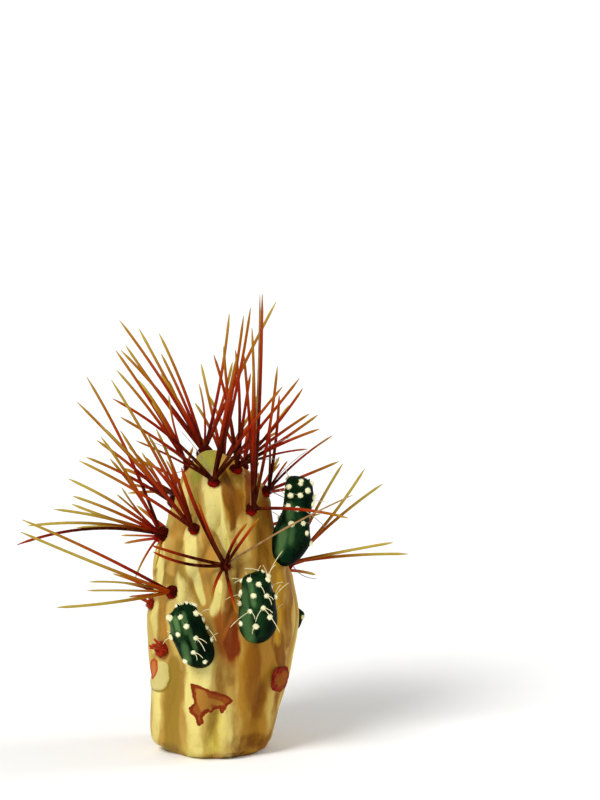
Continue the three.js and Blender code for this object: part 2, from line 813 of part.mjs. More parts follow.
const segmentGap = (() => {
  const d = [new THREE.Vector3(), new THREE.Vector3(), new THREE.Vector3()];
  // The least distance between segments ab and ce.
  return (a, b, c, e) => {
    const u = d[0].subVectors(b, a);
    const v = d[1].subVectors(e, c);
    const w = d[2].subVectors(a, c);
    const [uu, uv, vv, uw, vw] = [u.dot(u), u.dot(v), v.dot(v), u.dot(w), v.dot(w)];
    const down = uu * vv - uv * uv;
    let s = down > 1e-9 ? clamp((uv * vw - vv * uw) / down, 0, 1) : 0;
    const t = clamp((uv * s + vw) / vv, 0, 1);
    s = clamp((uv * t - uw) / uu, 0, 1);
    return w.addScaledVector(u, s).addScaledVector(v, -t).length();
  };
})();

const spinesSoFar = [];
const padSeats = [...SPINE_BUNCHES, ...BARE_AREOLES].map((piece) => ({
  name: piece.name,
  ...seatAt(piece.at),
}));

// The least room round a spine beyond what it needs: below zero where it touches something.
function roomAround(path, radius, owner) {
  const root = path[0];
  let room = Infinity;
  for (let i = 0; i < path.length - 1; i++) {
    for (const t of [0.33, 0.66, 1]) {
      const point = path[i].clone().lerp(path[i + 1], t);
      if (point.distanceTo(root) < NEAR_ROOT) continue;
      room = Math.min(room, outsideStem(point) - radius - CLEAR_OF_STEM);
      for (const pad of padSeats) {
        if (pad.name !== owner) room = Math.min(room, point.distanceTo(pad.point) - CLEAR_OF_PADS);
      }
    }
    for (const place of offsetPlaces) {
      const top = place.foot.clone().addScaledVector(place.growth, place.offset.length);
      const gap = segmentGap(path[i], path[i + 1], place.foot, top);
      const width = place.offset.radius + Math.abs(place.offset.bend ?? 0);
      room = Math.min(room, gap - radius - width - CLEAR_OF_OFFSETS);
    }
    for (const other of spinesSoFar) {
      if (other.owner === owner) continue;
      for (let k = 0; k < other.path.length - 1; k++) {
        const gap = segmentGap(path[i], path[i + 1], other.path[k], other.path[k + 1]);
        room = Math.min(room, gap - radius - other.radius - CLEAR_OF_SPINES);
      }
    }
  }
  return room;
}

// How far each spine of a bunch comes forward or goes back, as a share of its length, in turn.
const DEPTH_SPREAD = [-0.2, 0.14, -0.04, 0.24, 0.04, -0.3, 0.3];
const DEPTH_OUTWARDS = 0.5;
const BOWS = [0.7, -0.4, 1, 0.2, -0.8, 0.5]; // where the list gives none, in turn
const DEPTH_STEP = 0.035;
const DEPTH_TRIES = 34;
const THIN_FROM = 26; // a spine shorter than this in the drawing is a thin one

// The spines that the front drawing shows: each is moved nearer or farther until it is clear.
function drawnSpines(bunch, seat) {
  const root = seat.point.clone().addScaledVector(seat.normal, ROOT_LIFT);
  const outwards = seat.normal.dot(TOWARD);
  const spines = [];
  bunch.tips.forEach(([across, up, givenBow], i) => {
    const bow = givenBow ?? BOWS[i % BOWS.length];
    const away = new THREE.Vector2(across - root.dot(ACROSS), up - root.dot(UP));
    const plain = away.length() < THIN_FROM ? THIN_ROOT_RADIUS : SPINE_ROOT_RADIUS;
    const radius = bunch.dry === i ? DRY_ROOT_RADIUS : plain * (bunch.stout ?? 1);
    let best = null;
    for (let k = 0; k < DEPTH_TRIES && !(best && best.room > 0); k++) {
      const turn = Math.ceil(k / 2) * (k % 2 ? 1 : -1) * DEPTH_STEP;
      const share = DEPTH_OUTWARDS * outwards + DEPTH_SPREAD[i % DEPTH_SPREAD.length] + turn;
      const tip = root
        .clone()
        .addScaledVector(ACROSS, away.x)
        .addScaledVector(UP, away.y)
        .addScaledVector(TOWARD, away.length() * share);
      const path = spinePath(root, tip, bow, SPINE_SHARES);
      const room = roomAround(path, radius, bunch.name);
      if (!best || room > best.room) best = { path, radius, room, owner: bunch.name };
    }
    spines.push(best);
    spinesSoFar.push(best);
  });
  return spines;
}

// A fan of spines at the back: drawn again and again until each is clear.
const FAN_TRIES = 60;
const FAN_SPREAD = 70;
const FAN_RISE_SPREAD = 34;
const FAN_SWING = 22;
const FAN_TURN = 0.7; // how far a fan turns from its own side to straight back
function fannedSpines(bunch, seat, random) {
  const { count, rise, length } = bunch.fan;
  const root = seat.point.clone().addScaledVector(seat.normal, ROOT_LIFT);
  const side = radians(bunch.at[0]);
  const azimuth = side + (Math.sign(side) * Math.PI - side) * FAN_TURN;
  const spines = [];
  for (let i = 0; i < count; i++) {
    let best = null;
    for (let k = 0; k < FAN_TRIES && !(best && best.room > 0); k++) {
      const swing = azimuth + radians(((i + 0.5) / count - 0.5) * FAN_SPREAD + FAN_SWING * (random() - 0.5));
      const lift = radians(rise + FAN_RISE_SPREAD * (random() - 0.5));
      const reach = length * (0.62 + 0.5 * random());
      const tip = root.clone().add(
        new THREE.Vector3(
          Math.sin(swing) * Math.cos(lift),
          -Math.cos(swing) * Math.cos(lift),
          Math.sin(lift),
        ).multiplyScalar(reach),
      );
      const radius = reach < THIN_FROM ? THIN_ROOT_RADIUS : SPINE_ROOT_RADIUS;
      const path = spinePath(root, tip, 1.6 * (random() - 0.3), SPINE_SHARES);
      const room = roomAround(path, radius, bunch.name);
      if (!best || room > best.room) best = { path, radius, room, owner: bunch.name };
    }
    if (best.room <= 0) continue;
    spines.push(best);
    spinesSoFar.push(best);
  }
  return spines;
}

// The short broken stubs of an old areole.
const STUB_LENGTH = 2.6;
const STUB_RADIUS = 0.42;
const STUB_LIFT = 0.5;
const STUB_SPREAD = 1.6;
function stubs(areole, seat, random) {
  const root = seat.point.clone().addScaledVector(seat.normal, STUB_LIFT);
  return Array.from({ length: areole.stubs }, () => {
    const wander = new THREE.Vector3(random() - 0.5, random() - 0.5, random() - 0.1);
    const aim = seat.normal.clone().addScaledVector(wander, 1.1).normalize();
    const start = root.clone().addScaledVector(wander, STUB_SPREAD);
    const end = start.clone().addScaledVector(aim, STUB_LENGTH);
    return { path: [start, end], radius: STUB_RADIUS, shares: [0, 1] };
  });
}

const PAD_SIDES = 8;
const PAD_ROWS = 5;
const grownStem = solidOf(stemGeometry(SEAT_GAP));

// The felt pad of an areole with its spines sunk into it, or the scab of a dead one, seated on the stem.
function bunchSolid(piece, seat, spines) {
  const size = piece.pad ?? 1;
  const deep = piece.scab ? SCAB_DEPTH : PAD_DEPTH * Math.sqrt(size) * (piece.deep ?? 1);
  const [across, along] = piece.scab ?? [PAD_ACROSS * size, PAD_ALONG * size];
  const pad = new THREE.SphereGeometry(1, PAD_SIDES, PAD_ROWS);
  pad.rotateX(Math.PI / 2);
  pad.scale(across, along, deep);
  const level = new THREE.Vector3(0, 0, 1).cross(seat.normal).normalize();
  const basis = new THREE.Matrix4().makeBasis(level, seat.normal.clone().cross(level), seat.normal);
  const turn = new THREE.Quaternion().setFromRotationMatrix(basis);
  const whole = joined([
    placed(solidOf(pad), seat.point, turn),
    ...spines.map((spine) => needle(spine.path, spine.shares ?? SPINE_SHARES, spine.radius)),
  ]);
  return largestBody(whole.subtract(grownStem));
}

// Assembly

function mesh(name, geometry, color, roughness) {
  const made = new THREE.Mesh(
    geometry,
    new THREE.MeshStandardMaterial({ color, roughness, metalness: 0 }),
  );
  made.name = name;
  return made;
}

const plant = new THREE.Group();
plant.add(mesh("stem", stemGeometry(), TAN, 0.6));

for (const place of offsetPlaces) {
  const seated = offsetSolid(place).subtract(grownStem);
  plant.add(mesh(place.offset.name, geometryOf(largestBody(seated)), GREEN, 0.45));
}

const random = seeded(20240);
for (const bunch of SPINE_BUNCHES) {
  const seat = seatAt(bunch.at);
  const spines = bunch.tips ? drawnSpines(bunch, seat) : fannedSpines(bunch, seat, random);
  plant.add(mesh(bunch.name, geometryOf(bunchSolid(bunch, seat, spines)), RUST, 0.5));
}
for (const areole of BARE_AREOLES) {
  const seat = seatAt(areole.at);
  const solid = bunchSolid(areole, seat, stubs(areole, seat, random));
  plant.add(mesh(areole.name, geometryOf(solid), SCAR, 0.8));
}

export default plant;
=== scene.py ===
"""A cut stem of a fire cactus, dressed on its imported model: skin, scars, offsets, felt and spines."""

import math

import bpy
import numpy as np
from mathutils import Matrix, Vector


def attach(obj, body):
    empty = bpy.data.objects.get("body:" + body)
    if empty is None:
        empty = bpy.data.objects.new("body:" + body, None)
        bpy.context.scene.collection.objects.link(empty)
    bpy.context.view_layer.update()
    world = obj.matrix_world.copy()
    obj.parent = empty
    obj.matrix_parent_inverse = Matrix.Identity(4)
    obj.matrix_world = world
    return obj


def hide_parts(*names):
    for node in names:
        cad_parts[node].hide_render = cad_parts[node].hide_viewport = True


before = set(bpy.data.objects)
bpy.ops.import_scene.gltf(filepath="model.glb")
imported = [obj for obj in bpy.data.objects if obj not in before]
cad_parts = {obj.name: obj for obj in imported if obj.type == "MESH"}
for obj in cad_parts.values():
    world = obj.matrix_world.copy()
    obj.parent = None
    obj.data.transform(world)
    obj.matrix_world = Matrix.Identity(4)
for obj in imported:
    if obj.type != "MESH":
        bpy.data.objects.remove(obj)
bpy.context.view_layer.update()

MM = 0.001  # a millimetre, in metres

# The stem's own measures, in millimetres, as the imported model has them.
STEM_HEIGHT = 90.5
CUT_RADIUS = 14.6
AXIS_DRIFT = 3.3
AXIS_DRIFT_HEIGHT = 38
CROWN_RETURN = 2.4
CROWN_FROM = 78
DRAWING_TILT = 12
RIDGE_HEIGHT = 3
RIDGE_AT_AREOLE = 0.82  # a ridge's height at its areole, as a share of its full height
RIDGE_NARROWING = 0.75
ABOVE_AREOLE = 3.6
GROOVE_SOFTNESS = 0.28
RIB_AZIMUTHS = [-66, -16, 18, 60, 104, 150, 195, 241]
RIB_HEIGHT = 1.3
RIB_END = (22, 44)  # the heights between which the ribs fade out
RIB_FLANK = (0.08, 0.4)  # how far round from its crest a rib slopes, in radians
SIDE = [
    (CUT_RADIUS, 0), (16.9, 2.4), (18.1, 8), (18.8, 16), (19.5, 25), (20.6, 34), (21.2, 41), (20.1, 48),
    (18.7, 54), (17, 61), (14.3, 67), (12.9, 73), (11.8, 79), (9.2, 83.4), (5.9, 87), (2.8, 89.8),
    (0, STEM_HEIGHT),
]
SIDE_STEPS = 12

# Areoles: azimuth (0 front, 90 right) and height, the ridge below each, and where its spines end in the front
# drawing: across, up, and the bow upwards if it is marked. A bunch at the back is a fan.
SPINE_BUNCHES = [
    dict(
        name="spines_crown_back", at=(-150, 87.9), ridge=(20, 4.6, 1.6), pad=1.3, deep=1.5,
        tips=[
            (-27.5, 128, 1), (-25.5, 120.5), (-27, 119), (-21.5, 125.5), (-15.5, 124, 1), (-15, 118),
            (-15, 112), (-12.5, 110), (-3.5, 109), (5.5, 130, -1), (6.5, 115.5), (19.5, 133.5),
        ],
    ),
    dict(
        name="spines_crown_left", at=(-97, 85.4), ridge=(20, 4.6, 1.6),
        tips=[(-28.5, 119), (-28, 113, 0.8), (-21.5, 110), (-17.5, 103.5), (-12.5, 105.5)],
    ),
    dict(
        name="spines_crown_front", at=(-8, 82.6), ridge=(25, 5.2, 2.8, 6), tone=-0.2,
        tips=[
            (-29, 104.5, 2), (-26.5, 99, 0.8), (-22, 92, 0.6), (8, 117), (10, 129, -0.8), (12, 131.5, -1),
            (21.5, 108), (26.5, 110.5),
        ],
    ),
    dict(
        name="spines_crown_right", at=(46, 85.6), ridge=(22, 4.6, 1.6), tone=-0.2,
        tips=[
            (1, 117.5, 1), (4, 120), (7.5, 119), (12, 112), (27.5, 107.5), (29.5, 100), (32.5, 95.5, 0.8),
            (29, 89.5, 1),
        ],
    ),
    dict(
        name="spines_front_right", at=(37, 75.4), ridge=(26, 5, 3, -5), pad=1.1, tone=-0.2,
        tips=[(15.5, 135.5, -0.6), (12.5, 125.5, 0.6), (10, 118, 0.5), (13, 114), (20, 114), (41, 69, 1.2)],
    ),
    dict(
        name="spines_right", at=(70, 78.8), ridge=(26, 5), tone=-0.2,
        tips=[(20.5, 105.5, -0.5), (17.5, 97), (36.5, 93.5), (23, 86)],
    ),
    dict(
        name="spines_left_upper", at=(-84, 75.5), ridge=(22, 4.8),
        tips=[(-34, 92), (-37, 87, 0.8), (-24.5, 90), (-20.5, 88.5)],
    ),
    dict(
        name="spines_front_left", at=(-31, 69.6), ridge=(26, 5, 3, 3),
        tips=[
            (-39.5, 103.5), (-18.5, 94, 0.8), (-16, 95.5, 0.8), (-29, 110, 0.8), (-26.5, 95), (-39, 86, 1),
            (-32.5, 97), (-4.8, 70.8, 1),
        ],
    ),
    dict(
        name="spines_left", at=(-80, 64.5), ridge=(15, 6.5, 3.2, 2), pad=1.4, deep=1.6,
        tips=[
            (-37, 111, 1.4), (-32.5, 93, 0.8), (-30, 86.5), (-28, 76), (-26.5, 78), (-42.5, 80.5, 1),
            (-41, 75.5), (-41.5, 73), (-46.5, 71.5, 1), (-54.5, 66.5, 2), (-57.5, 61, 3.2), (-40, 66, 1.2),
            (-22.5, 51), (-16.5, 54.5),
        ],
    ),
    dict(
        name="spines_middle", at=(3.4, 59.6), ridge=(20, 5, 2.4, -2), pad=0.9, stout=1.4, dry=8,
        felt="orange_pad", tone=-0.2,
        tips=[
            (-8.5, 84, -1), (-3.5, 74, -0.6), (11, 67.5), (14.5, 69), (-17.5, 61, -0.4), (-17, 59, -1.7),
            (0.5, 45), (8, 41), (42.5, 76, 1),
        ],
    ),
    dict(
        name="spines_left_lower", at=(-43.5, 50.7), ridge=(24, 5.6, 2.4, -3), pad=1.15,
        tips=[(-56, 68.5, 0.8), (-56, 65), (-36, 50), (-36.5, 47.5), (-45.5, 42.5)],
    ),
    dict(
        name="spines_right_lower", at=(99, 55.4), ridge=(30, 6.8, 2.4),
        tips=[(39.5, 85), (46, 83.5, -1), (51.5, 79), (54.5, 61.5), (59, 58, 0.8)],
    ),
    dict(name="spines_back_1", at=(114, 85), ridge=(22, 4.6, 1.2), fan=(6, 30, 34)),
    dict(name="spines_back_2", at=(172, 83.5), ridge=(24, 4.8, 1.6), fan=(8, 25, 36)),
    dict(name="spines_back_3", at=(141, 74), ridge=(26, 5), fan=(7, 8, 34)),
    dict(name="spines_back_4", at=(-160, 73), ridge=(26, 5), fan=(8, 6, 36)),
    dict(name="spines_back_5", at=(-122, 75), ridge=(24, 4.8), fan=(6, 10, 32)),
    dict(name="spines_back_6", at=(167, 60), ridge=(26, 6, 2.8), fan=(8, 0, 32)),
    dict(name="spines_back_7", at=(-139, 60), ridge=(26, 6, 2.8), fan=(7, 0, 32)),
    dict(name="spines_back_8", at=(134, 50), ridge=(26, 6, 2.4), fan=(6, -4, 26)),
    dict(name="spines_back_9", at=(-127, 43.5), ridge=(26, 6.4, 2.4), fan=(5, -4, 26)),
    dict(name="spines_back_10", at=(177, 43), ridge=(28, 6.6, 2.4), fan=(6, -6, 26)),
]
BARE_AREOLES = [
    dict(name="bare_areole_left", at=(-69, 45.5), ridge=(22, 5.6, 2.6), pad=0.9, stubs=3),
    dict(name="bare_areole_left_lower", at=(-53, 33.4), ridge=(26, 6, 1.8), pad=1.4, stubs=8),
    dict(name="bare_areole_right_lower", at=(57, 24), ridge=(22, 7, 1.6), scab=(4.2, 3.6), stubs=0),
    dict(name="bare_areole_back_1", at=(158, 27), ridge=(25, 6.4, 2), pad=1, stubs=6),
    dict(name="bare_areole_back_2", at=(-166, 19), ridge=(19, 6.4, 2), pad=0.9, stubs=4),
    dict(name="bare_areole_back_3", at=(-138, 22), ridge=(19, 6.4, 2), pad=1, stubs=5),
]

# Offsets: where each stands, the azimuth and angle that it leans to, the felt cushions that show from the
# front, and hairs: the cushion that each grows from and where it ends.
OFFSETS = [
    dict(
        name="offset_left", at=(-12, 30.6), lean=(-38, 31), length=21.8, radius=5.1, taper=0.12,
        neck=(0.55, 0.9), bend=-0.9,
        felts=[
            (-5.1, 29.3), (-7, 26.6), (-1.8, 26.6), (-4.2, 33.6), (-4.4, 40.5), (-5.7, 42.9), (-7.2, 36.9),
            (-7.2, 41.9), (-9.4, 42.3), (-8.4, 39.3), (-9.3, 34.8), (-11.6, 33.6), (-10.8, 39.5),
            (-12.2, 39.5), (-1.7, 36.3), (-0.3, 32.7), (-2.1, 38.7), (-4.6, 43.8),
        ],
        hairs=[
            (3, -1.5, 29.4), (3, -0.9, 31.8), (0, -2.1, 27.3), (0, -3.9, 26.7), (14, 1.8, 32.4),
            (4, -2.2, 39.9), (15, 2.4, 34.8), (8, -11.4, 44.4), (11, -14.1, 31.5),
        ],
    ),
    dict(
        name="offset_front", at=(30, 37.2), lean=(-2, 21), length=23.4, radius=5.8, taper=0.28,
        neck=(0.35, 0.9), bend=0.5,
        felts=[
            (13.8, 52.5), (17.3, 51.6), (9.9, 50.1), (11.7, 50.1), (14.3, 49.5), (16.4, 50.6), (8.4, 46.2),
            (9.6, 47.1), (13.2, 46.2), (16.5, 46.2), (9.3, 43.6), (11.9, 41.4), (15.5, 42.7), (9.6, 37.8),
            (13.7, 37.2), (17.3, 39.6), (19.4, 45.6),
        ],
        hairs=[
            (0, 10.2, 54), (1, 19.5, 55.2), (1, 21.6, 59.4), (16, 21, 49.2), (16, 23.4, 49.8), (6, 4.5, 44.7),
            (11, 6, 36.6), (12, 13.5, 38.1), (12, 18.6, 40.8), (12, 20.7, 35.1), (14, 12.6, 34.5),
            (4, 16.2, 46.5), (9, 18.3, 43.2), (9, 18.9, 44.7), (2, 6.3, 51), (5, 15.6, 55.2), (2, 7.2, 49.6),
            (11, 13.3, 39),
        ],
    ),
    dict(
        name="offset_right", at=(74, 56.9), lean=(78, 12), length=28, radius=5.8, taper=0.27, neck=(0.3, 0.6),
        bend=1.5,
        felts=[
            (26.7, 78.7), (23.7, 77.8), (24, 75.6), (26.6, 75.9), (28.7, 76.8), (23.5, 72.8), (26, 72),
            (30.2, 72.9), (24.1, 67), (27.3, 67.8), (28.2, 64.6), (27, 80.7), (30, 79.5), (32.4, 75.3),
            (30.6, 61.5),
        ],
        hairs=[(1, 22, 77.4), (13, 34.2, 76.8)],
    ),
    dict(
        name="offset_bud", at=(108, 35.1), lean=(110, 24), length=6.5, radius=2.6, taper=0.1, neck=(0.3, 0.9),
        spiral=5,
    ),
    dict(
        name="offset_back", at=(-148, 32), lean=(-150, 25), length=21, radius=5.2, taper=0.2, neck=(0.3, 0.9),
        bend=0.8,
    ),
]
OFFSET_RIDGE = (26, 7, 2)
OFFSET_SUNK = 1.6
FELT_SPIRAL = 22
GOLDEN_ANGLE = math.radians(137.508)

# Scars on the front, in the drawing's millimetres: across and up.
TORN_SCAR = [
    (-5.8, 19.6), (-3.6, 19.3), (-1.6, 18.2), (0, 17.4), (2.1, 17), (4.6, 16.2), (7.1, 14.4), (5, 12.9),
    (4, 10.8), (3, 10.3), (2.7, 12), (0.9, 11.6), (0.1, 10.3), (-0.6, 11.1), (-1.5, 10.3), (-2.1, 9.6),
    (-2.1, 7.5), (-3.3, 6.6), (-4.2, 7.5), (-5.1, 9.6), (-6.4, 10.8), (-6.3, 12.3), (-5.1, 13.6),
    (-5.4, 15.3),
]
CORK_FLAP = [
    (-15.6, 26.2), (-13.8, 26.1), (-12.6, 25), (-12.3, 22.9), (-12.3, 20.5), (-13.2, 18.4), (-14.4, 17.5),
    (-16.5, 17.5), (-18, 18.1), (-18.3, 20.5), (-17.7, 21.7), (-16.2, 22), (-15.7, 23.8),
]
# Where the two end round the side: azimuth and half its spread, middle height and half the height.
CORK_PATCH = (-60, 19, 21.7, 5.2)
LOBE_PATCH = (-67, 12, 23.8, 4)
CORK_SHADOW = 0.6  # how far to the lower right of the flap its painted shadow shows
TORN_CORE = [(-2.4, 15, -1.5, 12.3, 1.8, 1.8, 1), (0.4, 14.2, 2.6, 13.6, 1.2, 0.8, 0.7)]
BROWN_LOBE = [
    (-16.8, 27), (-15.7, 26.1), (-15.6, 23.4), (-16.1, 21.6), (-16.9, 20.7), (-17.8, 21.9), (-18.2, 24.3),
    (-17.7, 26.4),
]
# Strokes of colour on the front of the skin, in the drawing: both ends, the half width at each, and how strong.
# A later family lies over an earlier one. Besides the skin's own colours they carry painted light: the golden
# strokes along the right edge are a painted rim light, pale is partly painted highlight on the lobes that face
# the light, and warm, drab and brown are partly painted shade on the right flank, in the grooves and under the
# lobes.
STROKES = dict(
    # Partly painted shade: a warm brown over the right flank.
    warm=[
        (12.9, 27.6, 12.9, 2.1, 4.8, 5.1, 0.9), (18.3, 56.1, 19.5, 26.1, 4.2, 3.6, 0.9),
        (15.3, 69.6, 15.6, 56.1, 3.3, 3.6, 0.9), (6.3, 81.6, 7.5, 72.6, 3, 3.6, 0.9),
    ],
    tan=[
        (-1.5, 66.6, 0.3, 54.6, 1.8, 1.8, 0.9), (-10.5, 65.7, -9.6, 56.1, 1.5, 1.2, 0.7),
        (-8.4, 71.7, -7.5, 63.9, 1.5, 1.5, 0.8), (-2.4, 51.6, -1.5, 44.1, 1.5, 1.5, 0.5),
        (-14.1, 44.7, -13.8, 27.6, 1.1, 1.1, 0.6), (2.1, 44.1, 1.8, 32.1, 1.5, 1.5, 0.6),
        (11.1, 57.6, 10.2, 51.6, 2.4, 2.4, 0.5), (12.3, 65.1, 12.9, 56.1, 1.2, 1.5, 0.5),
        (-3.3, 74.7, -1.5, 68.1, 0.8, 1.2, 0.5),
    ],
    # Partly painted shade: olive brown in the grooves and under the lobes.
    drab=[
        (-11.1, 23.7, -11.1, 14.1, 2.1, 2.7, 0.9), (-11.4, 14.1, -12, -1.5, 3, 2.4, 0.9),
        (5.7, 9.6, 8.1, 3.6, 1.8, 2.4, 0.4), (0.3, 9.3, 0.9, 2.7, 2.1, 2.4, 0.5),
        (-9.3, 59.7, -8.4, 49.5, 1.8, 2.1, 0.75), (-15.3, 51.6, -9.9, 49.5, 2.1, 2.1, 0.8),
        (-4.8, 79.8, -4.2, 74.1, 1.5, 1.2, 0.5), (-8.4, 56.1, -3.6, 44.1, 0.4, 0.6, 0.6),
    ],
    # Partly painted shade: brown in the grooves and on the right flank.
    brown=[
        (3.9, 80.1, 6.9, 73.5, 1.2, 2.7, 0.85), (7.5, 73.5, 6.9, 66, 2.4, 0.9, 0.8),
        (11.4, 81.6, 11.1, 74.1, 1.2, 1.2, 0.9), (16.2, 68.1, 15.6, 55.5, 2.4, 2.4, 0.55),
        (15.3, 74.1, 16.5, 68.1, 1.8, 1.8, 0.6), (3, 23.4, 2.7, 16.5, 2.1, 2.4, 0.55),
        (1.8, 23.7, 1.5, 17.1, 1.1, 1.1, 0.4), (12.6, 26.7, 13.8, 15, 3, 3.6, 0.75),
        (5.4, 28.2, 5.7, 22.5, 2.7, 2.4, 0.5), (11.7, 14.1, 14.1, 3.6, 2.7, 3, 0.3),
        (23.4, 52.5, 23.4, 32.1, 1.5, 1.5, 0.7), (20.7, 32.1, 21.6, 24.9, 2.1, 1.5, 0.8),
        (20.1, 16.5, 18.3, 5.1, 1.2, 1.2, 0.6),
    ],
    umber=[
        (6.6, 75.3, 6.9, 71.1, 1.5, 1.5, 0.3), (9, 1.2, 15, 2.7, 3, 2.7, 0.5),
        (5.1, -2.1, 8.7, -1.8, 1.2, 0.9, 0.6), (12.9, 20.1, 12.9, 14.1, 1.5, 1.5, 0.3),
        (4.2, 83.1, 5.1, 79.5, 0.9, 0.9, 0.7),
    ],
    # Partly painted highlight: the cream lobes and crests, paler where they face the light.
    pale=[
        (0.6, 76.8, 1.5, 69.9, 2.7, 2.7, 1), (1.8, 69.3, 5.4, 60, 2.4, 0.9, 0.9),
        (7.5, 80.7, 9, 76.2, 1.2, 1.2, 0.2), (9.3, 69.3, 8.4, 60.6, 1.5, 1.8, 0.4),
        (-6.3, 62.7, -5.4, 54.6, 1.8, 1.8, 1), (-5.4, 54.6, -2.4, 44.7, 1.5, 0.9, 0.8),
        (-14.7, 60.3, -16.2, 48.6, 1.5, 1.5, 0.7), (-8.1, 47.1, -7.5, 44.1, 3, 3, 0.6),
        (2.4, 48.6, 1.5, 42.3, 1.2, 1.5, 1), (-7.8, 77.7, -7.2, 70.5, 1.2, 1.2, 0.7),
        (-16.5, 42.3, -16.5, 30.6, 1.1, 1.1, 0.7), (-16.5, 16.5, -16.8, 2.7, 1.5, 1.5, 0.75),
        (-3.3, 25.5, -4.8, 14.1, 4.2, 3.3, 1), (-5.4, 12.9, -4.8, -0.9, 2.1, 3, 0.75),
        (4.5, 11.7, 4.5, 0.3, 2.1, 2.4, 0.45), (7.5, 22.5, 7.2, 11.7, 1.1, 1.1, 0.25),
        (-1.2, 3.6, 1.2, -1.5, 2.4, 2.4, 0.25),
    ],
    # Painted rim light: warm light along the right edge of the stem.
    painted_rim_light=[
        (18, 74.7, 19.5, 66.6, 0.6, 0.9, 0.6), (19.5, 66.6, 19.8, 56.1, 0.9, 1.2, 0.6),
        (24.6, 47.1, 24.9, 32.1, 0.6, 0.6, 0.3), (20.4, 51.6, 20.4, 32.1, 1.5, 1.2, 0.5),
        (17.1, 24.6, 16.5, 14.1, 0.9, 0.9, 0.2),
    ],
    yellow=[
        (-4.5, 4.8, 1.5, 2.4, 3.6, 3, 0.22), (-6.3, 3.6, -7.5, -0.3, 1.8, 1.8, 0.4),
        (5.1, 63.6, 5.1, 59.1, 0.8, 0.6, 0.5), (-18.3, 39.6, -18.6, 30.6, 0.4, 0.4, 0.25),
        (-18, 14.1, -18, 3.6, 0.4, 0.4, 0.25), (-15.3, 0.9, -11.7, -0.9, 0.6, 0.6, 0.5),
    ],
    olive=[
        (-1.8, 86.7, -3.3, 83.1, 2.4, 2.4, 0.7), (0.9, 88.5, 0.3, 85.5, 1.5, 1.5, 0.7),
        (-4.8, 79.8, -4.2, 74.1, 1.2, 1.2, 0.35),
    ],
    red=[
        (13.5, 80.1, 16.5, 74.1, 0.9, 0.9, 0.5), (15.6, 75.6, 17.1, 70.5, 1.2, 1.2, 0.45),
        (21.6, 25.5, 23.1, 23.7, 0.9, 0.6, 0.35), (20.7, 16.5, 19.8, 14.1, 0.9, 0.6, 0.35),
        (8.1, 82.2, 11.7, 81.9, 0.9, 0.9, 0.4), (-4.5, 64.2, -3.3, 59.7, 0.9, 0.9, 0.35),
        (16.5, 2.7, 15.6, 0, 0.8, 0.8, 0.3), (11.4, 80.7, 11.1, 74.1, 0.9, 0.9, 0.45),
    ],
    blush=[
        (5.7, 48.9, 5.7, 37.5, 1.2, 2.4, 0.7), (5.1, 35.1, 5.1, 33, 3.9, 4.5, 0.95),
    ],
    heart=[
        (6.6, 33.3, 6.3, 30.9, 2.1, 2.7, 1),
    ],
)
# The two close colours of each family, in the order in which the families lie over each other.
SKIN_TONES = [
    ("warm", "966a18", "a27222"), ("tan", "ae7e30", "b68638"), ("drab", "927428", "8a6a24"),
    ("brown", "84500c", "74420a"), ("umber", "683c06", "5c3204"), ("pale", "dccc78", "e2d482"),
    ("painted_rim_light", "b68a1e", "c09228"), ("yellow", "cab83c", "c4b244"), ("olive", "9c983a", "8e8c34"),
    ("red", "8e300a", "963a10"), ("blush", "985418", "8c4812"), ("heart", "6c2404", "742a08"),
]

# Streaks of painted sheen on the offsets, in the same way.
OFFSET_SHEEN_STREAKS = dict(
    offset_left=[
        (-10.2, 38.4, -9.6, 36, 0.8, 0.8, 1), (-6.3, 36, -4.5, 30.6, 0.7, 0.7, 0.7),
        (-7.5, 30, -6.9, 27.3, 1.1, 1.1, 1), (-7.8, 39.3, -7.2, 36, 0.9, 0.9, 0.8),
        (-12, 38.7, -11.4, 35.1, 0.6, 0.6, 0.8),
    ],
    offset_front=[
        (10.5, 39.9, 11.7, 33.3, 1.5, 1.5, 1), (12, 48.9, 12.9, 44.1, 0.8, 0.8, 0.8),
        (10.2, 46.2, 10.5, 42.6, 1.1, 0.9, 0.8),
    ],
    offset_right=[
        (21.6, 63.6, 20.7, 59.7, 1.5, 1.2, 0.9), (23.7, 71.7, 23.7, 69.6, 1.1, 1.1, 0.7),
        (24.3, 65.4, 24, 62.7, 0.9, 0.9, 0.6),
    ],
)

# How much yellower than the rest of its bunch each spine is, or below zero how much redder.
YELLOW_SPINES = {
    "spines_left_lower": [0.12, 0.4, 0.42, 0.42, 0.4],
    "spines_left": [0, 0.1, 0, 0, 0, 0.15, 0.1, 0.2, 0.25, 0.3, -0.45, 0.2, 0.1, 0.35],
    "spines_right_lower": [0.35, 0.22, 0.22, 0.36, 0.3],
    "spines_middle": [-0.1, -0.1, -0.1, -0.1, -0.2, -0.2, 0, 0.05, 0.35],
}

# Spines with a pale needle close at their left that stands for the painted highlight on the spine's lit side,
# by their place in the bunch.
HIGHLIGHT_NEEDLES = {"spines_front_right": 0}
HIGHLIGHT_ASIDE = 0.7

# Fine grey hairs among the spines: the bunch, and where each ends.
FINE_HAIRS = {
    "spines_right_lower": [(31.8, 50.7, -1.5)],
    "spines_right": [(34.5, 66, 1), (29.1, 89.1, 1)],
    "spines_crown_right": [(20.4, 86.4, 1), (24, 93, 1)],
    "spines_crown_left": [(-11, 82.5, -1), (-19, 92, 1)],
    "spines_crown_front": [(4.2, 91.8, 1), (-9, 95, 1)],
}


def smooth(low, high, value):
    """A smooth step from 0 at low to 1 at high."""
    t = np.clip((value - low) / (high - low), 0, 1)
    return t * t * (3 - 2 * t)


def hump(value, middle, reach):
    """A smooth hump of height 1 round a middle."""
    return np.exp(-(((value - middle) / reach) ** 2))


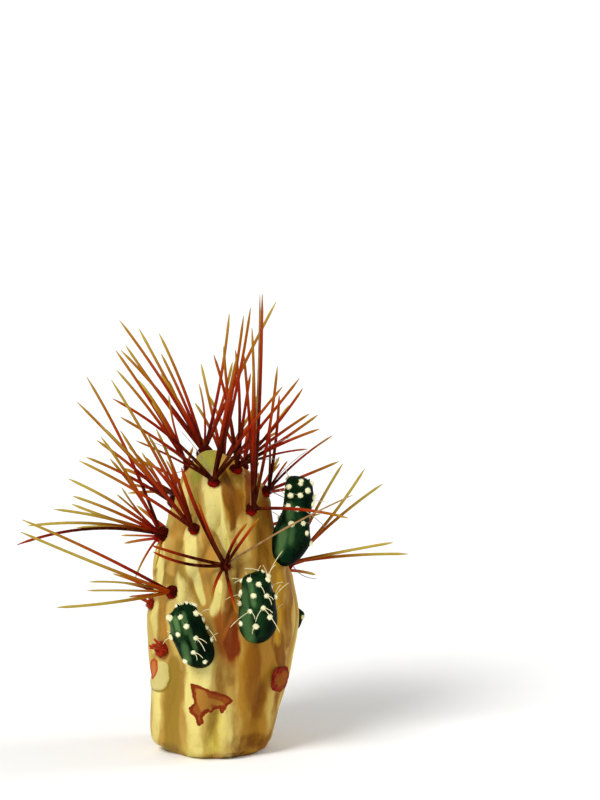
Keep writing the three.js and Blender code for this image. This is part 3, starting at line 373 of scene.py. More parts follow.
def seeded(seed):
    """A random number from 0 to 1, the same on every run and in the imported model."""
    state = seed

    def draw():
        nonlocal state
        state = state * 16807 % 2147483647
        return state / 2147483647

    return draw


def unit(vector):
    return vector / np.linalg.norm(vector)


def outward_at(azimuth, rise=0):
    """The level direction of an azimuth, or one that rises."""
    azimuth = np.asarray(azimuth, float)
    return np.stack([np.sin(azimuth), -np.cos(azimuth), rise + 0 * azimuth], axis=-1)


def turns_of(columns):
    """The azimuths of equal columns round a piece."""
    return 2 * math.pi * np.arange(columns) / columns


TILT = math.radians(DRAWING_TILT)
ACROSS = np.array([1.0, 0, 0])
UP = np.array([0, math.sin(TILT), math.cos(TILT)])
TOWARD = np.array([0, -math.cos(TILT), math.sin(TILT)])


# The stem's surface

def side_rows():
    """A Catmull-Rom curve through SIDE: radius, height and length so far."""
    points = np.array(SIDE, float)
    last = len(points) - 1
    rows = []
    for i in range(last):
        a, b, c, d = (points[min(max(i + n, 0), last)] for n in (-1, 0, 1, 2))
        for k in range(SIDE_STEPS + (i == last - 1)):
            t = k / SIDE_STEPS
            bend = (2 * a - 5 * b + 4 * c - d) * t * t + (3 * b - a - 3 * c + d) * t ** 3
            rows.append(0.5 * (2 * b + (c - a) * t + bend))
    rows = np.array(rows)
    steps = np.hypot(*np.diff(rows, axis=0).T)
    return np.column_stack([rows, np.concatenate([[0], np.cumsum(steps)])])


SIDE_ROWS = side_rows()
SIDE_LENGTH = SIDE_ROWS[-1, 2]
RADIUS, HEIGHT, LENGTH = range(3)


def side_at(column, value):
    """Radius, height, length and the outward normal of the side where one of its columns has a value."""
    value = np.asarray(value, float)
    keys = SIDE_ROWS[:, column]
    low = np.clip(np.searchsorted(keys, value, side="right") - 1, 0, len(keys) - 2)
    a = SIDE_ROWS[low]
    b = SIDE_ROWS[low + 1]
    share = np.clip((value - a[..., column]) / (b[..., column] - a[..., column]), 0, 1)[..., None]
    row = a + (b - a) * share
    step = np.hypot(b[..., 0] - a[..., 0], b[..., 1] - a[..., 1])
    normal = np.stack([(b[..., 1] - a[..., 1]) / step, (a[..., 0] - b[..., 0]) / step], axis=-1)
    return row[..., RADIUS], row[..., HEIGHT], row[..., LENGTH], normal


def drift(height):
    """How far the stem's axis lies to the right of its foot."""
    back = CROWN_RETURN * smooth(CROWN_FROM, STEM_HEIGHT, height)
    return AXIS_DRIFT * smooth(0, AXIS_DRIFT_HEIGHT, height) - back


def ridge_of(piece):
    """The ridge that runs down the stem below an areole or an offset."""
    length, width, *rest = piece.get("ridge", OFFSET_RIDGE)
    return dict(
        azimuth=math.radians(piece["at"][0]),
        top=float(side_at(HEIGHT, piece["at"][1])[2]),
        length=length,
        width=width,
        height=rest[0] if rest else RIDGE_HEIGHT,
        sway=rest[1] if len(rest) > 1 else 0,
    )


RIDGES = [ridge_of(piece) for piece in SPINE_BUNCHES + BARE_AREOLES + OFFSETS]


def relief(azimuth, length, radius):
    """How far the ridges lift the surface."""
    total = 0
    for ridge in RIDGES:
        below = ridge["top"] - length
        share = np.clip(below / ridge["length"], 0, 1)
        width = ridge["width"] * np.where(below < 0, 1, 1 - RIDGE_NARROWING * share * share)
        round_it = 2 * radius * np.sin((azimuth - ridge["azimuth"]) / 2)
        away = (round_it - ridge["sway"] * share) / width
        belly = (1 - share) ** 0.6 * (RIDGE_AT_AREOLE + 0.9 * share)
        above = RIDGE_AT_AREOLE * hump(below, 0, ABOVE_AREOLE)
        fall = np.where(below < 0, above, belly)
        fall = np.where((below > ridge["length"] * 1.05) | (below < -ABOVE_AREOLE * 2.2), 0, fall)
        across = np.clip(1 - away * away, 0, 1) ** 1.1
        total = total + np.exp(ridge["height"] * fall * across / GROOVE_SOFTNESS) - 1
    return GROOVE_SOFTNESS * np.log1p(total)


def ribs(azimuth, height):
    """How far the soft ribs of the lower stem lift the surface."""
    nearest = np.min([np.abs(np.sin((azimuth - math.radians(rib)) / 2)) * 2 for rib in RIB_AZIMUTHS], axis=0)
    return RIB_HEIGHT * (1 - smooth(*RIB_END, height)) * (1 - smooth(*RIB_FLANK, nearest))


WORN = dict(azimuth=math.radians(-58), spread=math.radians(34), depth=2.4, length=6)


def worn(azimuth, length):
    """How far the edge of the cut is worn away at the left of the front."""
    away = 2 * np.sin((azimuth - WORN["azimuth"]) / 2) / WORN["spread"]
    return WORN["depth"] * np.exp(-away * away) * (1 - smooth(0, WORN["length"], length))


def stem_point(azimuth, length, extra=0):
    """A point of the stem's surface, grown outwards by extra."""
    radius, height, _, normal = side_at(LENGTH, length)
    bottom = smooth(0, 4, length)
    lift = relief(azimuth, length, radius) + ribs(azimuth, height) * (0.6 + 0.4 * bottom)
    lift = lift - worn(azimuth, length) + extra
    out = radius + normal[..., 0] * lift
    up = height + normal[..., 1] * lift * bottom
    return np.stack([drift(height) + out * np.sin(azimuth), -out * np.cos(azimuth), up], axis=-1)


SEAT_STEP = 1.2


def seat_at(at):
    """The surface point and its outward normal at an azimuth and a height of the plain side."""
    azimuth = math.radians(at[0])
    length = float(side_at(HEIGHT, at[1])[2])
    turn = SEAT_STEP / max(float(side_at(LENGTH, length)[0]), 4)
    along = stem_point(azimuth, length + SEAT_STEP) - stem_point(azimuth, length - SEAT_STEP)
    around = stem_point(azimuth + turn, length) - stem_point(azimuth - turn, length)
    return stem_point(azimuth, length), unit(np.cross(around, along))


# Offsets

def turn_to(direction):
    """The rotation, as a matrix, that takes +Z to a direction."""
    return np.array(Vector((0, 0, 1)).rotation_difference(Vector(direction)).to_matrix())


def place_of(offset):
    """Where an offset stands, the direction in which it grows, and the rotation that takes +Z there."""
    point, normal = seat_at(offset["at"])
    azimuth, lean = (math.radians(v) for v in offset["lean"])
    growth = outward_at(azimuth) * math.sin(lean) + [0, 0, math.cos(lean)]
    return dict(offset=offset, growth=growth, foot=point - OFFSET_SUNK * normal, turn=turn_to(growth))


def stood(place, local):
    """Points of an offset, from where it grows along +Z to where it stands on the stem."""
    return local @ place["turn"].T + place["foot"]


FOOT_SHARE = 0.3  # the share of an offset's length over which its foot swells
CROWN_SHARE = 0.84  # and the share where its round tip begins


def offset_shape(share, taper, neck):
    """Radius of an offset as a share of its widest, at a share of its length."""
    foot = np.sqrt(np.clip(1 - (1 - share / FOOT_SHARE) ** 2, 0, 1))
    body = np.where(share < FOOT_SHARE, foot, 1 - taper * smooth(*neck, share))
    crown = np.sqrt(np.clip(1 - (np.clip(share - CROWN_SHARE, 0, None) / (1 - CROWN_SHARE)) ** 2.4, 0, 1))
    return body * crown


def bent(offset, share):
    """How far an offset's axis bows to the right at a share of its length."""
    return offset.get("bend", 0) * 4 * share * (1 - share)


def plain_offset_point(offset, azimuth, share):
    """A point of an offset without its bumps, growing along +Z."""
    radius = offset["radius"] * offset_shape(share, offset["taper"], offset["neck"])
    across = radius * np.sin(azimuth) + bent(offset, share)
    share = np.broadcast_to(share, np.shape(across))
    return np.stack([across, -radius * np.cos(azimuth), share * offset["length"]], axis=-1)


SPOT_TURNS = 60
SPOT_SHARES = 40
SPIRAL_FROM = 0.17
SPIRAL_SPAN = 0.8
SPIRAL_CLEAR = 2.4
BEHIND = 0.3  # how far a cushion of the spiral faces away from the front, at least
SEEN = 0.1  # how far a drawn cushion faces the front, at least
BUMP_LIFT = 0.45


def felt_spots(place):
    """Azimuth and share of each felt cushion: those that the front drawing shows, then a spiral behind."""
    offset = place["offset"]
    spots = []
    turns = turns_of(SPOT_TURNS)
    shares = np.arange(3, SPOT_SHARES) / SPOT_SHARES
    grid = stood(place, plain_offset_point(offset, turns[:, None], shares[None, :]))
    outward = outward_at(turns) @ place["turn"].T
    radii = offset["radius"] * offset_shape(shares, offset["taper"], offset["neck"])
    rise = -np.gradient(radii, shares * offset["length"])
    hidden = (outward @ TOWARD)[:, None] + rise * (place["growth"] @ TOWARD) < SEEN
    for across, up in offset.get("felts", []):
        away = np.hypot(grid @ ACROSS - across, grid @ UP - up)
        i, k = np.unravel_index(np.argmin(np.where(hidden, np.inf, away)), away.shape)
        spots.append((turns[i], shares[k]))
    count = offset.get("spiral", FELT_SPIRAL)
    for i in range(count):
        azimuth = i * GOLDEN_ANGLE
        share = SPIRAL_FROM + SPIRAL_SPAN * ((i + 0.5) / count) ** 0.82
        out = place["turn"] @ outward_at(azimuth)
        point = plain_offset_point(offset, azimuth, share)
        crowded = any(
            np.linalg.norm(plain_offset_point(offset, *spot) - point) < SPIRAL_CLEAR for spot in spots
        )
        if "felts" in offset and (out @ TOWARD > -BEHIND or crowded):
            continue
        spots.append((azimuth, share))
    return spots


def offset_point(offset, spots, azimuth, share):
    """A point of an offset with the low bump under each felt cushion, growing along +Z."""
    plain = offset["radius"] * offset_shape(share, offset["taper"], offset["neck"])
    lift = np.zeros(np.shape(plain * azimuth))
    for spot_azimuth, spot_share in spots:
        around = 2 * np.maximum(plain, 1.2) * np.sin((azimuth - spot_azimuth) / 2)
        away = np.hypot(around, (share - spot_share) * offset["length"]) / 2
        lift = np.maximum(lift, np.exp(-away * away))
    radius = plain + BUMP_LIFT * lift * smooth(0, 0.2, share)
    height = share * offset["length"] + BUMP_LIFT * lift * smooth(0.8, 1, share)
    across = radius * np.sin(azimuth) + bent(offset, share)
    return np.stack([across, -radius * np.cos(azimuth), height], axis=-1)


OFFSET_PLACES = [place_of(offset) for offset in OFFSETS]

# Spines

SPINE_SHARES = np.array([0, 0.4, 0.85, 1])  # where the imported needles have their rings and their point
SPINE_ROOT_RADIUS = 0.5
THIN_ROOT_RADIUS = 0.36
DRY_ROOT_RADIUS = 0.3
CLEAR_OF_STEM = 0.8
CLEAR_OF_SPINES = 0.3
CLEAR_OF_OFFSETS = 1.6
CLEAR_OF_PADS = 3.4
NEAR_ROOT = 4
ROOT_LIFT = 0.75
DEPTH_SPREAD = [-0.2, 0.14, -0.04, 0.24, 0.04, -0.3, 0.3]
DEPTH_OUTWARDS = 0.5
DEPTH_STEP = 0.035
DEPTH_TRIES = 34
FAN_TRIES = 60
FAN_SPREAD = 70
FAN_RISE_SPREAD = 34
FAN_WANDER = 22
FAN_TURN = 0.7  # how far a fan turns from its own side to straight back
THIN_FROM = 26
BOWS = [0.7, -0.4, 1, 0.2, -0.8, 0.5]
STUB_LIFT = 0.5
STUB_LENGTH = 2.6
STUB_RADIUS = 0.42

SEATS = {piece["name"]: seat_at(piece["at"]) for piece in SPINE_BUNCHES + BARE_AREOLES}
spines_so_far = []


def spine_path(root, tip, bow, shares=SPINE_SHARES):
    """Points along a spine from its root to its tip, bowed sideways in the front drawing."""
    chord = tip - root
    side = unit(np.cross(TOWARD, chord))
    if side @ UP < 0:
        side = -side
    t = shares[:, None]
    return root + chord * t + side * (bow * 4 * t * (1 - t))


def drawn_tip(root, across, up, lean, ahead=0):
    """Where a needle ends that the front drawing ends at across and up, leaning towards the viewer."""
    away = (across - root @ ACROSS, up - root @ UP)
    return root + ACROSS * away[0] + UP * away[1] + TOWARD * (lean * math.hypot(*away) + ahead)


def outside_stem(points):
    """How far points lie outside the stem, measured level from its axis."""
    z = points[:, 2]
    radius, height, length, _ = side_at(HEIGHT, np.minimum(z, STEM_HEIGHT))
    x = points[:, 0] - drift(z)
    azimuth = np.arctan2(x, -points[:, 1])
    lift = relief(azimuth, length, radius) + ribs(azimuth, height)
    away = np.hypot(x, points[:, 1]) - radius - lift + 2 * np.maximum(z - STEM_HEIGHT, 0)
    return np.where(z > STEM_HEIGHT + 2, np.inf, away)


def segment_gaps(a, b, c, e):
    """The least distances between the segments ab and the segments ce."""
    u = (b - a)[:, None]
    v = (e - c)[None]
    w = a[:, None] - c[None]
    uu, uv, vv = (u * u).sum(-1), (u * v).sum(-1), (v * v).sum(-1)
    uw, vw = (u * w).sum(-1), (v * w).sum(-1)
    down = uu * vv - uv * uv
    s = np.where(down > 1e-9, np.clip((uv * vw - vv * uw) / np.maximum(down, 1e-9), 0, 1), 0)
    t = np.clip((uv * s + vw) / vv, 0, 1)
    s = np.clip((uv * t - uw) / uu, 0, 1)
    return np.linalg.norm(w + u * s[..., None] - v * t[..., None], axis=-1)


OFFSET_FEET = np.array([place["foot"] for place in OFFSET_PLACES])
OFFSET_TOPS = OFFSET_FEET + [place["growth"] * place["offset"]["length"] for place in OFFSET_PLACES]
OFFSET_RADII = np.array([offset["radius"] + abs(offset.get("bend", 0)) for offset in OFFSETS])


def room_around(path, radius, owner):
    """The least room round a spine beyond what it needs: below zero where it touches something."""
    steps = path[1:] - path[:-1]
    points = (path[:-1, None] + steps[:, None] * np.array([0.33, 0.66, 1])[:, None]).reshape(-1, 3)
    points = points[np.linalg.norm(points - path[0], axis=1) >= NEAR_ROOT]
    pads = np.array([point for name, (point, _) in SEATS.items() if name != owner])
    room = (outside_stem(points) - radius - CLEAR_OF_STEM).min()
    room = min(room, np.linalg.norm(points[:, None] - pads, axis=-1).min() - CLEAR_OF_PADS)
    gaps = segment_gaps(path[:-1], path[1:], OFFSET_FEET, OFFSET_TOPS)
    room = min(room, (gaps - OFFSET_RADII).min() - radius - CLEAR_OF_OFFSETS)
    others = [spine for spine in spines_so_far if spine["owner"] != owner]
    if others:
        starts = np.concatenate([spine["path"][:-1] for spine in others])
        ends = np.concatenate([spine["path"][1:] for spine in others])
        radii = np.repeat([spine["radius"] for spine in others], len(SPINE_SHARES) - 1)
        gaps = segment_gaps(path[:-1], path[1:], starts, ends)
        room = min(room, (gaps - radii).min() - radius - CLEAR_OF_SPINES)
    return room


def root_of(areole):
    """Where the spines of an areole grow from, and the outward normal there."""
    point, normal = SEATS[areole["name"]]
    return point + ROOT_LIFT * normal, normal


def clear_spine(owner, root, tries, attempt):
    """The first of some attempts at a spine that is clear of everything, or else the roomiest."""
    best = None
    for k in range(tries):
        tip, bow, radius = attempt(k)
        path = spine_path(root, tip, bow)
        room = room_around(path, radius, owner)
        if best is None or room > best["room"]:
            best = dict(path=path, radius=radius, room=room, owner=owner, root=root, tip=tip, bow=bow)
        if best["room"] > 0:
            break
    return best


def drawn_spines(bunch):
    """The spines that the front drawing shows: each is moved nearer or farther until it is clear."""
    root, normal = root_of(bunch)
    spines = []
    for i, (across, up, *marked) in enumerate(bunch["tips"]):
        bow = marked[0] if marked else BOWS[i % len(BOWS)]
        reach = math.hypot(across - root @ ACROSS, up - root @ UP)
        radius = (THIN_ROOT_RADIUS if reach < THIN_FROM else SPINE_ROOT_RADIUS) * bunch.get("stout", 1)
        if bunch.get("dry") == i:
            radius = DRY_ROOT_RADIUS
        lean = DEPTH_OUTWARDS * (normal @ TOWARD) + DEPTH_SPREAD[i % len(DEPTH_SPREAD)]

        def attempt(k):
            turn = math.ceil(k / 2) * (1 if k % 2 else -1) * DEPTH_STEP
            return drawn_tip(root, across, up, lean + turn), bow, radius

        spines.append(clear_spine(bunch["name"], root, DEPTH_TRIES, attempt))
        spines_so_far.append(spines[-1])
    return spines


def fanned_spines(bunch, draw):
    """A fan of spines at the back: drawn again and again until each is clear, or else left out."""
    count, rise, length = bunch["fan"]
    root, _ = root_of(bunch)
    azimuth = math.radians(bunch["at"][0])
    back = math.pi if azimuth > 0 else -math.pi
    azimuth += (back - azimuth) * FAN_TURN
    spines = []
    for i in range(count):

        def attempt(k):
            aside = ((i + 0.5) / count - 0.5) * FAN_SPREAD + FAN_WANDER * (draw() - 0.5)
            lift = math.radians(rise + FAN_RISE_SPREAD * (draw() - 0.5))
            reach = length * (0.62 + 0.5 * draw())
            aim = outward_at(azimuth + math.radians(aside)) * math.cos(lift) + [0, 0, math.sin(lift)]
            radius = THIN_ROOT_RADIUS if reach < THIN_FROM else SPINE_ROOT_RADIUS
            return root + aim * reach, 1.6 * (draw() - 0.3), radius

        spine = clear_spine(bunch["name"], root, FAN_TRIES, attempt)
        if spine["room"] > 0:
            spines.append(spine)
            spines_so_far.append(spine)
    return spines


def stubs(areole, draw):
    """The short broken stubs of an old areole."""
    point, normal = SEATS[areole["name"]]
    root = point + STUB_LIFT * normal
    found = []
    for _ in range(areole["stubs"]):
        wander = np.array([draw() - 0.5, draw() - 0.5, draw() - 0.1])
        aim = unit(normal + 1.1 * wander)
        start = root + 1.6 * wander
        found.append(dict(root=start, tip=start + STUB_LENGTH * aim, bow=0, radius=STUB_RADIUS))
    return found


# Meshes

def mesh_of(name, points, edges=(), faces=()):
    """A smooth mesh in metres from millimetre points."""
    mesh = bpy.data.meshes.new(name)
    mesh.from_pydata((np.asarray(points) * MM).tolist(), edges, faces)
    mesh.polygons.foreach_set("use_smooth", [True] * len(mesh.polygons))
    mesh.update()
    return mesh


def ringed_mesh(name, first, rings, last, turn=np.eye(3), foot=(0, 0, 0)):
    """A closed mesh of rings of points with a point before and after them, turned and moved to its foot."""
    points = np.concatenate([[first], rings.reshape(-1, 3), [last]])
    return mesh_of(name, points @ turn.T + foot, faces=ring_faces(*rings.shape[:2]))


def add_values(mesh, name, values):
    """A number at every point of a mesh, which a material reads by its name."""
    attribute = mesh.attributes.new(name, "FLOAT", "POINT")
    attribute.data.foreach_set("value", np.asarray(values, np.float32).ravel())


def add_ring_values(mesh, name, rings, first=0, last=0):
    """The same for a mesh of rings, with a value for each of its two end points."""
    add_values(mesh, name, np.concatenate([[first], rings.ravel(), [last]]))


def add_object(name, data):
    """An object in the scene."""
    made = bpy.data.objects.new(name, data)
    bpy.context.scene.collection.objects.link(made)
    return made


def piece_of(name, mesh, replaced=()):
    """An object that rides on the stem's one body."""
    piece = add_object(name, mesh)
    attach(piece, "root")
    if replaced:
        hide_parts(*replaced)


def ring_faces(rows, columns):
    """Quads between rings of points, and a fan of triangles at either end."""
    faces = []
    top = 1 + (rows - 1) * columns
    end = rows * columns + 1
    for column in range(columns):
        after = (column + 1) % columns
        faces.append((0, 1 + after, 1 + column))
        for low in range(1, top, columns):
            high = low + columns
            faces.append((low + column, low + after, high + after, high + column))
        faces.append((end, top + column, top + after))
    return faces


# Node trees that make what repeats

HALF_TURN = 3.1416
FELT_FLATNESS = 0.72  # a cushion's depth as a share of its width


def node_group(name, kind, inputs, output):
    """A new group with named sockets, and its input and output nodes."""
    tree = bpy.data.node_groups.new(name, kind)
    for label, socket, *value in inputs:
        made = tree.interface.new_socket(name=label, in_out="INPUT", socket_type="NodeSocket" + socket)
        if value:
            made.default_value = value[0]
    label, socket = output
    tree.interface.new_socket(name=label, in_out="OUTPUT", socket_type="NodeSocket" + socket)
    return tree, tree.nodes.new("NodeGroupInput").outputs, tree.nodes.new("NodeGroupOutput")


def add_node(tree, kind, settings=None, **sockets):
    """A node with its settings, its sockets set to a value or linked from a socket or a node's first one."""
    node = tree.nodes.new(kind)
    for key, value in (settings or {}).items():
        setattr(node, key, value)
    for key, value in sockets.items():
        place = int(key[1:]) if key[0] == "_" and key[1:].isdigit() else key.replace("_", " ")
        feed_socket(tree, node.inputs[place], value)
    return node


def feed_socket(tree, socket, value):
    """A socket set to a value, or linked from another socket or from a node's first one."""
    if isinstance(value, bpy.types.Node):
        value = value.outputs[0]
    if isinstance(value, bpy.types.NodeSocket):
        tree.links.new(value, socket)
    else:
        socket.default_value = value


def math_node(tree, operation, a, b):
    """The result of one step of arithmetic in a node tree."""
    return add_node(tree, "ShaderNodeMath", dict(operation=operation), _0=a, _1=b).outputs[0]


def named(tree, name, kind="FLOAT"):
    """What the points of a mesh carry under a name."""
    return add_node(tree, "GeometryNodeInputNamedAttribute", dict(data_type=kind), Name=name)


def finished(tree, made, start, end):
    """The end of a tree: what it made becomes one real mesh and gets its material."""
    real = add_node(tree, "GeometryNodeRealizeInstances", Geometry=made)
    coated = add_node(tree, "GeometryNodeSetMaterial", Geometry=real, Material=start["Finish"])
    feed_socket(tree, end.inputs[0], coated)
    return tree


def needle_tree():
    """Tapered needles along the edges of a mesh: its points carry how thick the needle is there."""
    tree, start, end = node_group(
        "needles_along_paths",
        "GeometryNodeTree",
        [("Paths", "Geometry"), ("Sides", "Int", 8), ("Finish", "Material")],
        ("Needles", "Geometry"),
    )
    curves = add_node(tree, "GeometryNodeMeshToCurve", Mesh=start["Paths"])
    thickness = named(tree, "thickness")
    sized = add_node(tree, "GeometryNodeSetCurveRadius", Curve=curves, Radius=thickness)
    section = add_node(tree, "GeometryNodeCurvePrimitiveCircle", Resolution=start["Sides"], Radius=1.0)
    tubes = add_node(tree, "GeometryNodeCurveToMesh", Curve=sized, Profile_Curve=section, Fill_Caps=True)
    if "Scale" in tubes.inputs:
        feed_socket(tree, tubes.inputs["Scale"], thickness)
    shaded = add_node(tree, "GeometryNodeSetShadeSmooth", Geometry=tubes, Shade_Smooth=True)
    return finished(tree, shaded, start, end)


def hair_tree():
    """Short hairs that stand on the faces of a mesh, each a slim cone, tilted and sized at random."""
    tree, start, end = node_group(
        "hairs_on_a_surface",
        "GeometryNodeTree",
        [
            ("Surface", "Geometry"), ("Density", "Float", 1e6), ("Length", "Float", 0.001),
            ("Thickness", "Float", 0.00005), ("Tilt", "Float", 0.6), ("Seed", "Int", 1),
            ("Finish", "Material"),
        ],
        ("Hairs", "Geometry"),
    )
    spread = add_node(
        tree, "GeometryNodeDistributePointsOnFaces",
        Mesh=start["Surface"], Density=start["Density"], Seed=start["Seed"],
    )
    cone = add_node(
        tree, "GeometryNodeMeshCone",
        Vertices=4, Radius_Top=0.0, Radius_Bottom=start["Thickness"], Depth=start["Length"],
    )
    tilt = start["Tilt"]
    less = math_node(tree, "MULTIPLY", tilt, -1.0)
    low = add_node(tree, "ShaderNodeCombineXYZ", X=less, Y=less, Z=-HALF_TURN)
    high = add_node(tree, "ShaderNodeCombineXYZ", X=tilt, Y=tilt, Z=HALF_TURN)
    swing = add_node(
        tree, "FunctionNodeRandomValue", dict(data_type="FLOAT_VECTOR"), _0=low, _1=high, Seed=start["Seed"]
    )
    turned = add_node(
        tree, "FunctionNodeRotateRotation", dict(rotation_space="LOCAL"),
        Rotation=spread.outputs["Rotation"], Rotate_By=swing,
    )
    size = add_node(tree, "FunctionNodeRandomValue", dict(data_type="FLOAT"), _2=0.55, _3=1.25, Seed=7)
    placed = add_node(
        tree, "GeometryNodeInstanceOnPoints",
        Points=spread, Instance=cone, Rotation=turned, Scale=size.outputs[1],
    )
    return finished(tree, placed, start, end)


def tuft_tree():
    """A felt cushion on every point of a mesh: the points carry its direction and its radius."""
    tree, start, end = node_group(
        "felt_cushions",
        "GeometryNodeTree",
        [("Spots", "Geometry"), ("Lumps", "Float", 0.25), ("Finish", "Material")],
        ("Cushions", "Geometry"),
    )
    ball = add_node(tree, "GeometryNodeMeshIcoSphere", Radius=1.0, Subdivisions=3)
    normal = add_node(tree, "GeometryNodeInputNormal")
    noise = add_node(tree, "ShaderNodeTexNoise", Scale=2.6, Detail=2.0)
    lumps = math_node(tree, "MULTIPLY", math_node(tree, "SUBTRACT", noise, 0.5), start["Lumps"])
    push = add_node(tree, "ShaderNodeVectorMath", dict(operation="SCALE"), _0=normal, Scale=lumps)
    lumpy = add_node(tree, "GeometryNodeSetPosition", Geometry=ball, Offset=push)
    shaded = add_node(tree, "GeometryNodeSetShadeSmooth", Geometry=lumpy, Shade_Smooth=True)
    outward = named(tree, "outward", "FLOAT_VECTOR")
    turned = add_node(tree, "FunctionNodeAlignRotationToVector", dict(axis="Z"), Vector=outward)
    size = named(tree, "size")
    flat = math_node(tree, "MULTIPLY", size, FELT_FLATNESS)
    scale = add_node(tree, "ShaderNodeCombineXYZ", X=size, Y=size, Z=flat)
    points = add_node(tree, "GeometryNodeMeshToPoints", Mesh=start["Spots"])
    placed = add_node(
        tree, "GeometryNodeInstanceOnPoints", Points=points, Instance=shaded, Rotation=turned, Scale=scale
    )
    return finished(tree, placed, start, end)


def grown(name, mesh, tree, **values):
    """The mesh that a node tree makes of another mesh, with its named inputs set."""
    carrier = add_object(name + "_carrier", mesh)
    modifier = carrier.modifiers.new("Nodes", "NODES")
    modifier.node_group = tree
    for item in tree.interface.items_tree:
        if item.item_type == "SOCKET" and item.in_out == "INPUT" and item.name in values:
            modifier[item.identifier] = values[item.name]
    depsgraph = bpy.context.evaluated_depsgraph_get()
    result = bpy.data.meshes.new_from_object(carrier.evaluated_get(depsgraph), depsgraph=depsgraph)
    result.name = name
    bpy.data.objects.remove(carrier)
    return result


# Materials

def linear(code):
    """A colour like d8cd85 as the light values that a shader takes."""
    parts = [int(code[i : i + 2], 16) / 255 for i in (0, 2, 4)]
    return [p / 12.92 if p <= 0.04045 else ((p + 0.055) / 1.055) ** 2.4 for p in parts] + [1]


def mottle_group():
    """A soft irregular mask: cloudy patches of a size and a stretch, between two bounds of the noise."""
    tree, start, end = node_group(
        "mottle",
        "ShaderNodeTree",
        [
            ("Vector", "Vector"), ("Stretch", "Vector", (1, 1, 1)), ("Scale", "Float", 100),
            ("Detail", "Float", 4), ("Low", "Float", 0.4), ("High", "Float", 0.6),
        ],
        ("Mask", "Float"),
    )
    stretched = add_node(
        tree, "ShaderNodeVectorMath", dict(operation="MULTIPLY"), _0=start["Vector"], _1=start["Stretch"]
    )
    noise = add_node(
        tree, "ShaderNodeTexNoise",
        Vector=stretched, Scale=start["Scale"], Detail=start["Detail"], Roughness=0.6,
    )
    mask = add_node(
        tree, "ShaderNodeMapRange", dict(interpolation_type="SMOOTHSTEP"),
        Value=noise, From_Min=start["Low"], From_Max=start["High"],
    )
    feed_socket(tree, end.inputs["Mask"], mask)
    return tree


class Finish:
    """A material under construction: its tree, its shader and the Object coordinates that patterns read."""

    def __init__(self, name, **shader_values):
        self.material = bpy.data.materials.new(name)
        self.material.use_nodes = True
        self.tree = self.material.node_tree
        self.shader = self.tree.nodes["Principled BSDF"]
        for key, value in shader_values.items():
            self.shader.inputs[key.replace("_", " ")].default_value = value
        self.place = self.add("ShaderNodeTexCoord").outputs["Object"]

    def add(self, kind, settings=None, **sockets):
        return add_node(self.tree, kind, settings, **sockets)

    def value(self, name):
        """What the mesh carries under a name."""
        return self.add("ShaderNodeAttribute", dict(attribute_name=name)).outputs["Fac"]

    def mottle(self, scale, low=0.4, high=0.6, stretch=(1, 1, 1), detail=4):
        """A mask of soft patches."""
        values = dict(Vector=self.place, Scale=scale, Low=low, High=high, Stretch=stretch, Detail=detail)
        return self.add("ShaderNodeGroup", dict(node_tree=MOTTLE), **values).outputs["Mask"]

    def times(self, a, b):
        return math_node(self.tree, "MULTIPLY", a, b)

    def noise(self, scale, stretch=(1, 1, 1)):
        """Soft noise from minus a half to a half."""
        return math_node(self.tree, "SUBTRACT", self.mottle(scale, 0.2, 0.8, stretch), 0.5)

    def frayed(self, name, noise, amount=1.0):
        """The same, with its edges made uneven by a noise."""
        return math_node(self.tree, "ADD", self.value(name), self.times(noise, amount))

    def between(self, value, low, high, to_low=0.0, to_high=1.0):
        """A smooth step from one value to another while the input goes from low to high."""
        values = dict(Value=value, From_Min=low, From_Max=high, To_Min=to_low, To_Max=to_high)
        return self.add("ShaderNodeMapRange", dict(interpolation_type="SMOOTHSTEP"), **values).outputs[0]

    def mix(self, share, a, b):
        """Colour a, turned towards colour b by a share."""
        node = self.add("ShaderNodeMix", dict(data_type="RGBA"), Factor=share)
        for key, value in (("A", a), ("B", b)):
            socket = next(s for s in node.inputs if s.name == key and s.type == "RGBA")
            feed_socket(self.tree, socket, linear(value) if isinstance(value, str) else value)
        return next(s for s in node.outputs if s.type == "RGBA")

    def tint(self, tone, mask, share, colour):
        """A tone, turned towards a colour by a share of a mask."""
        return self.mix(self.times(mask, share), tone, colour)

    def bump(self, height, distance, strength, **normal):
        values = dict(Height=height, Distance=distance, Strength=strength, **normal)
        return self.add("ShaderNodeBump", **values).outputs[0]

    def feed(self, **sockets):
        """The finished material, with what its shader takes from the patterns."""
        for key, value in sockets.items():
            self.tree.links.new(value, self.shader.inputs[key.replace("_", " ")])
        return self.material


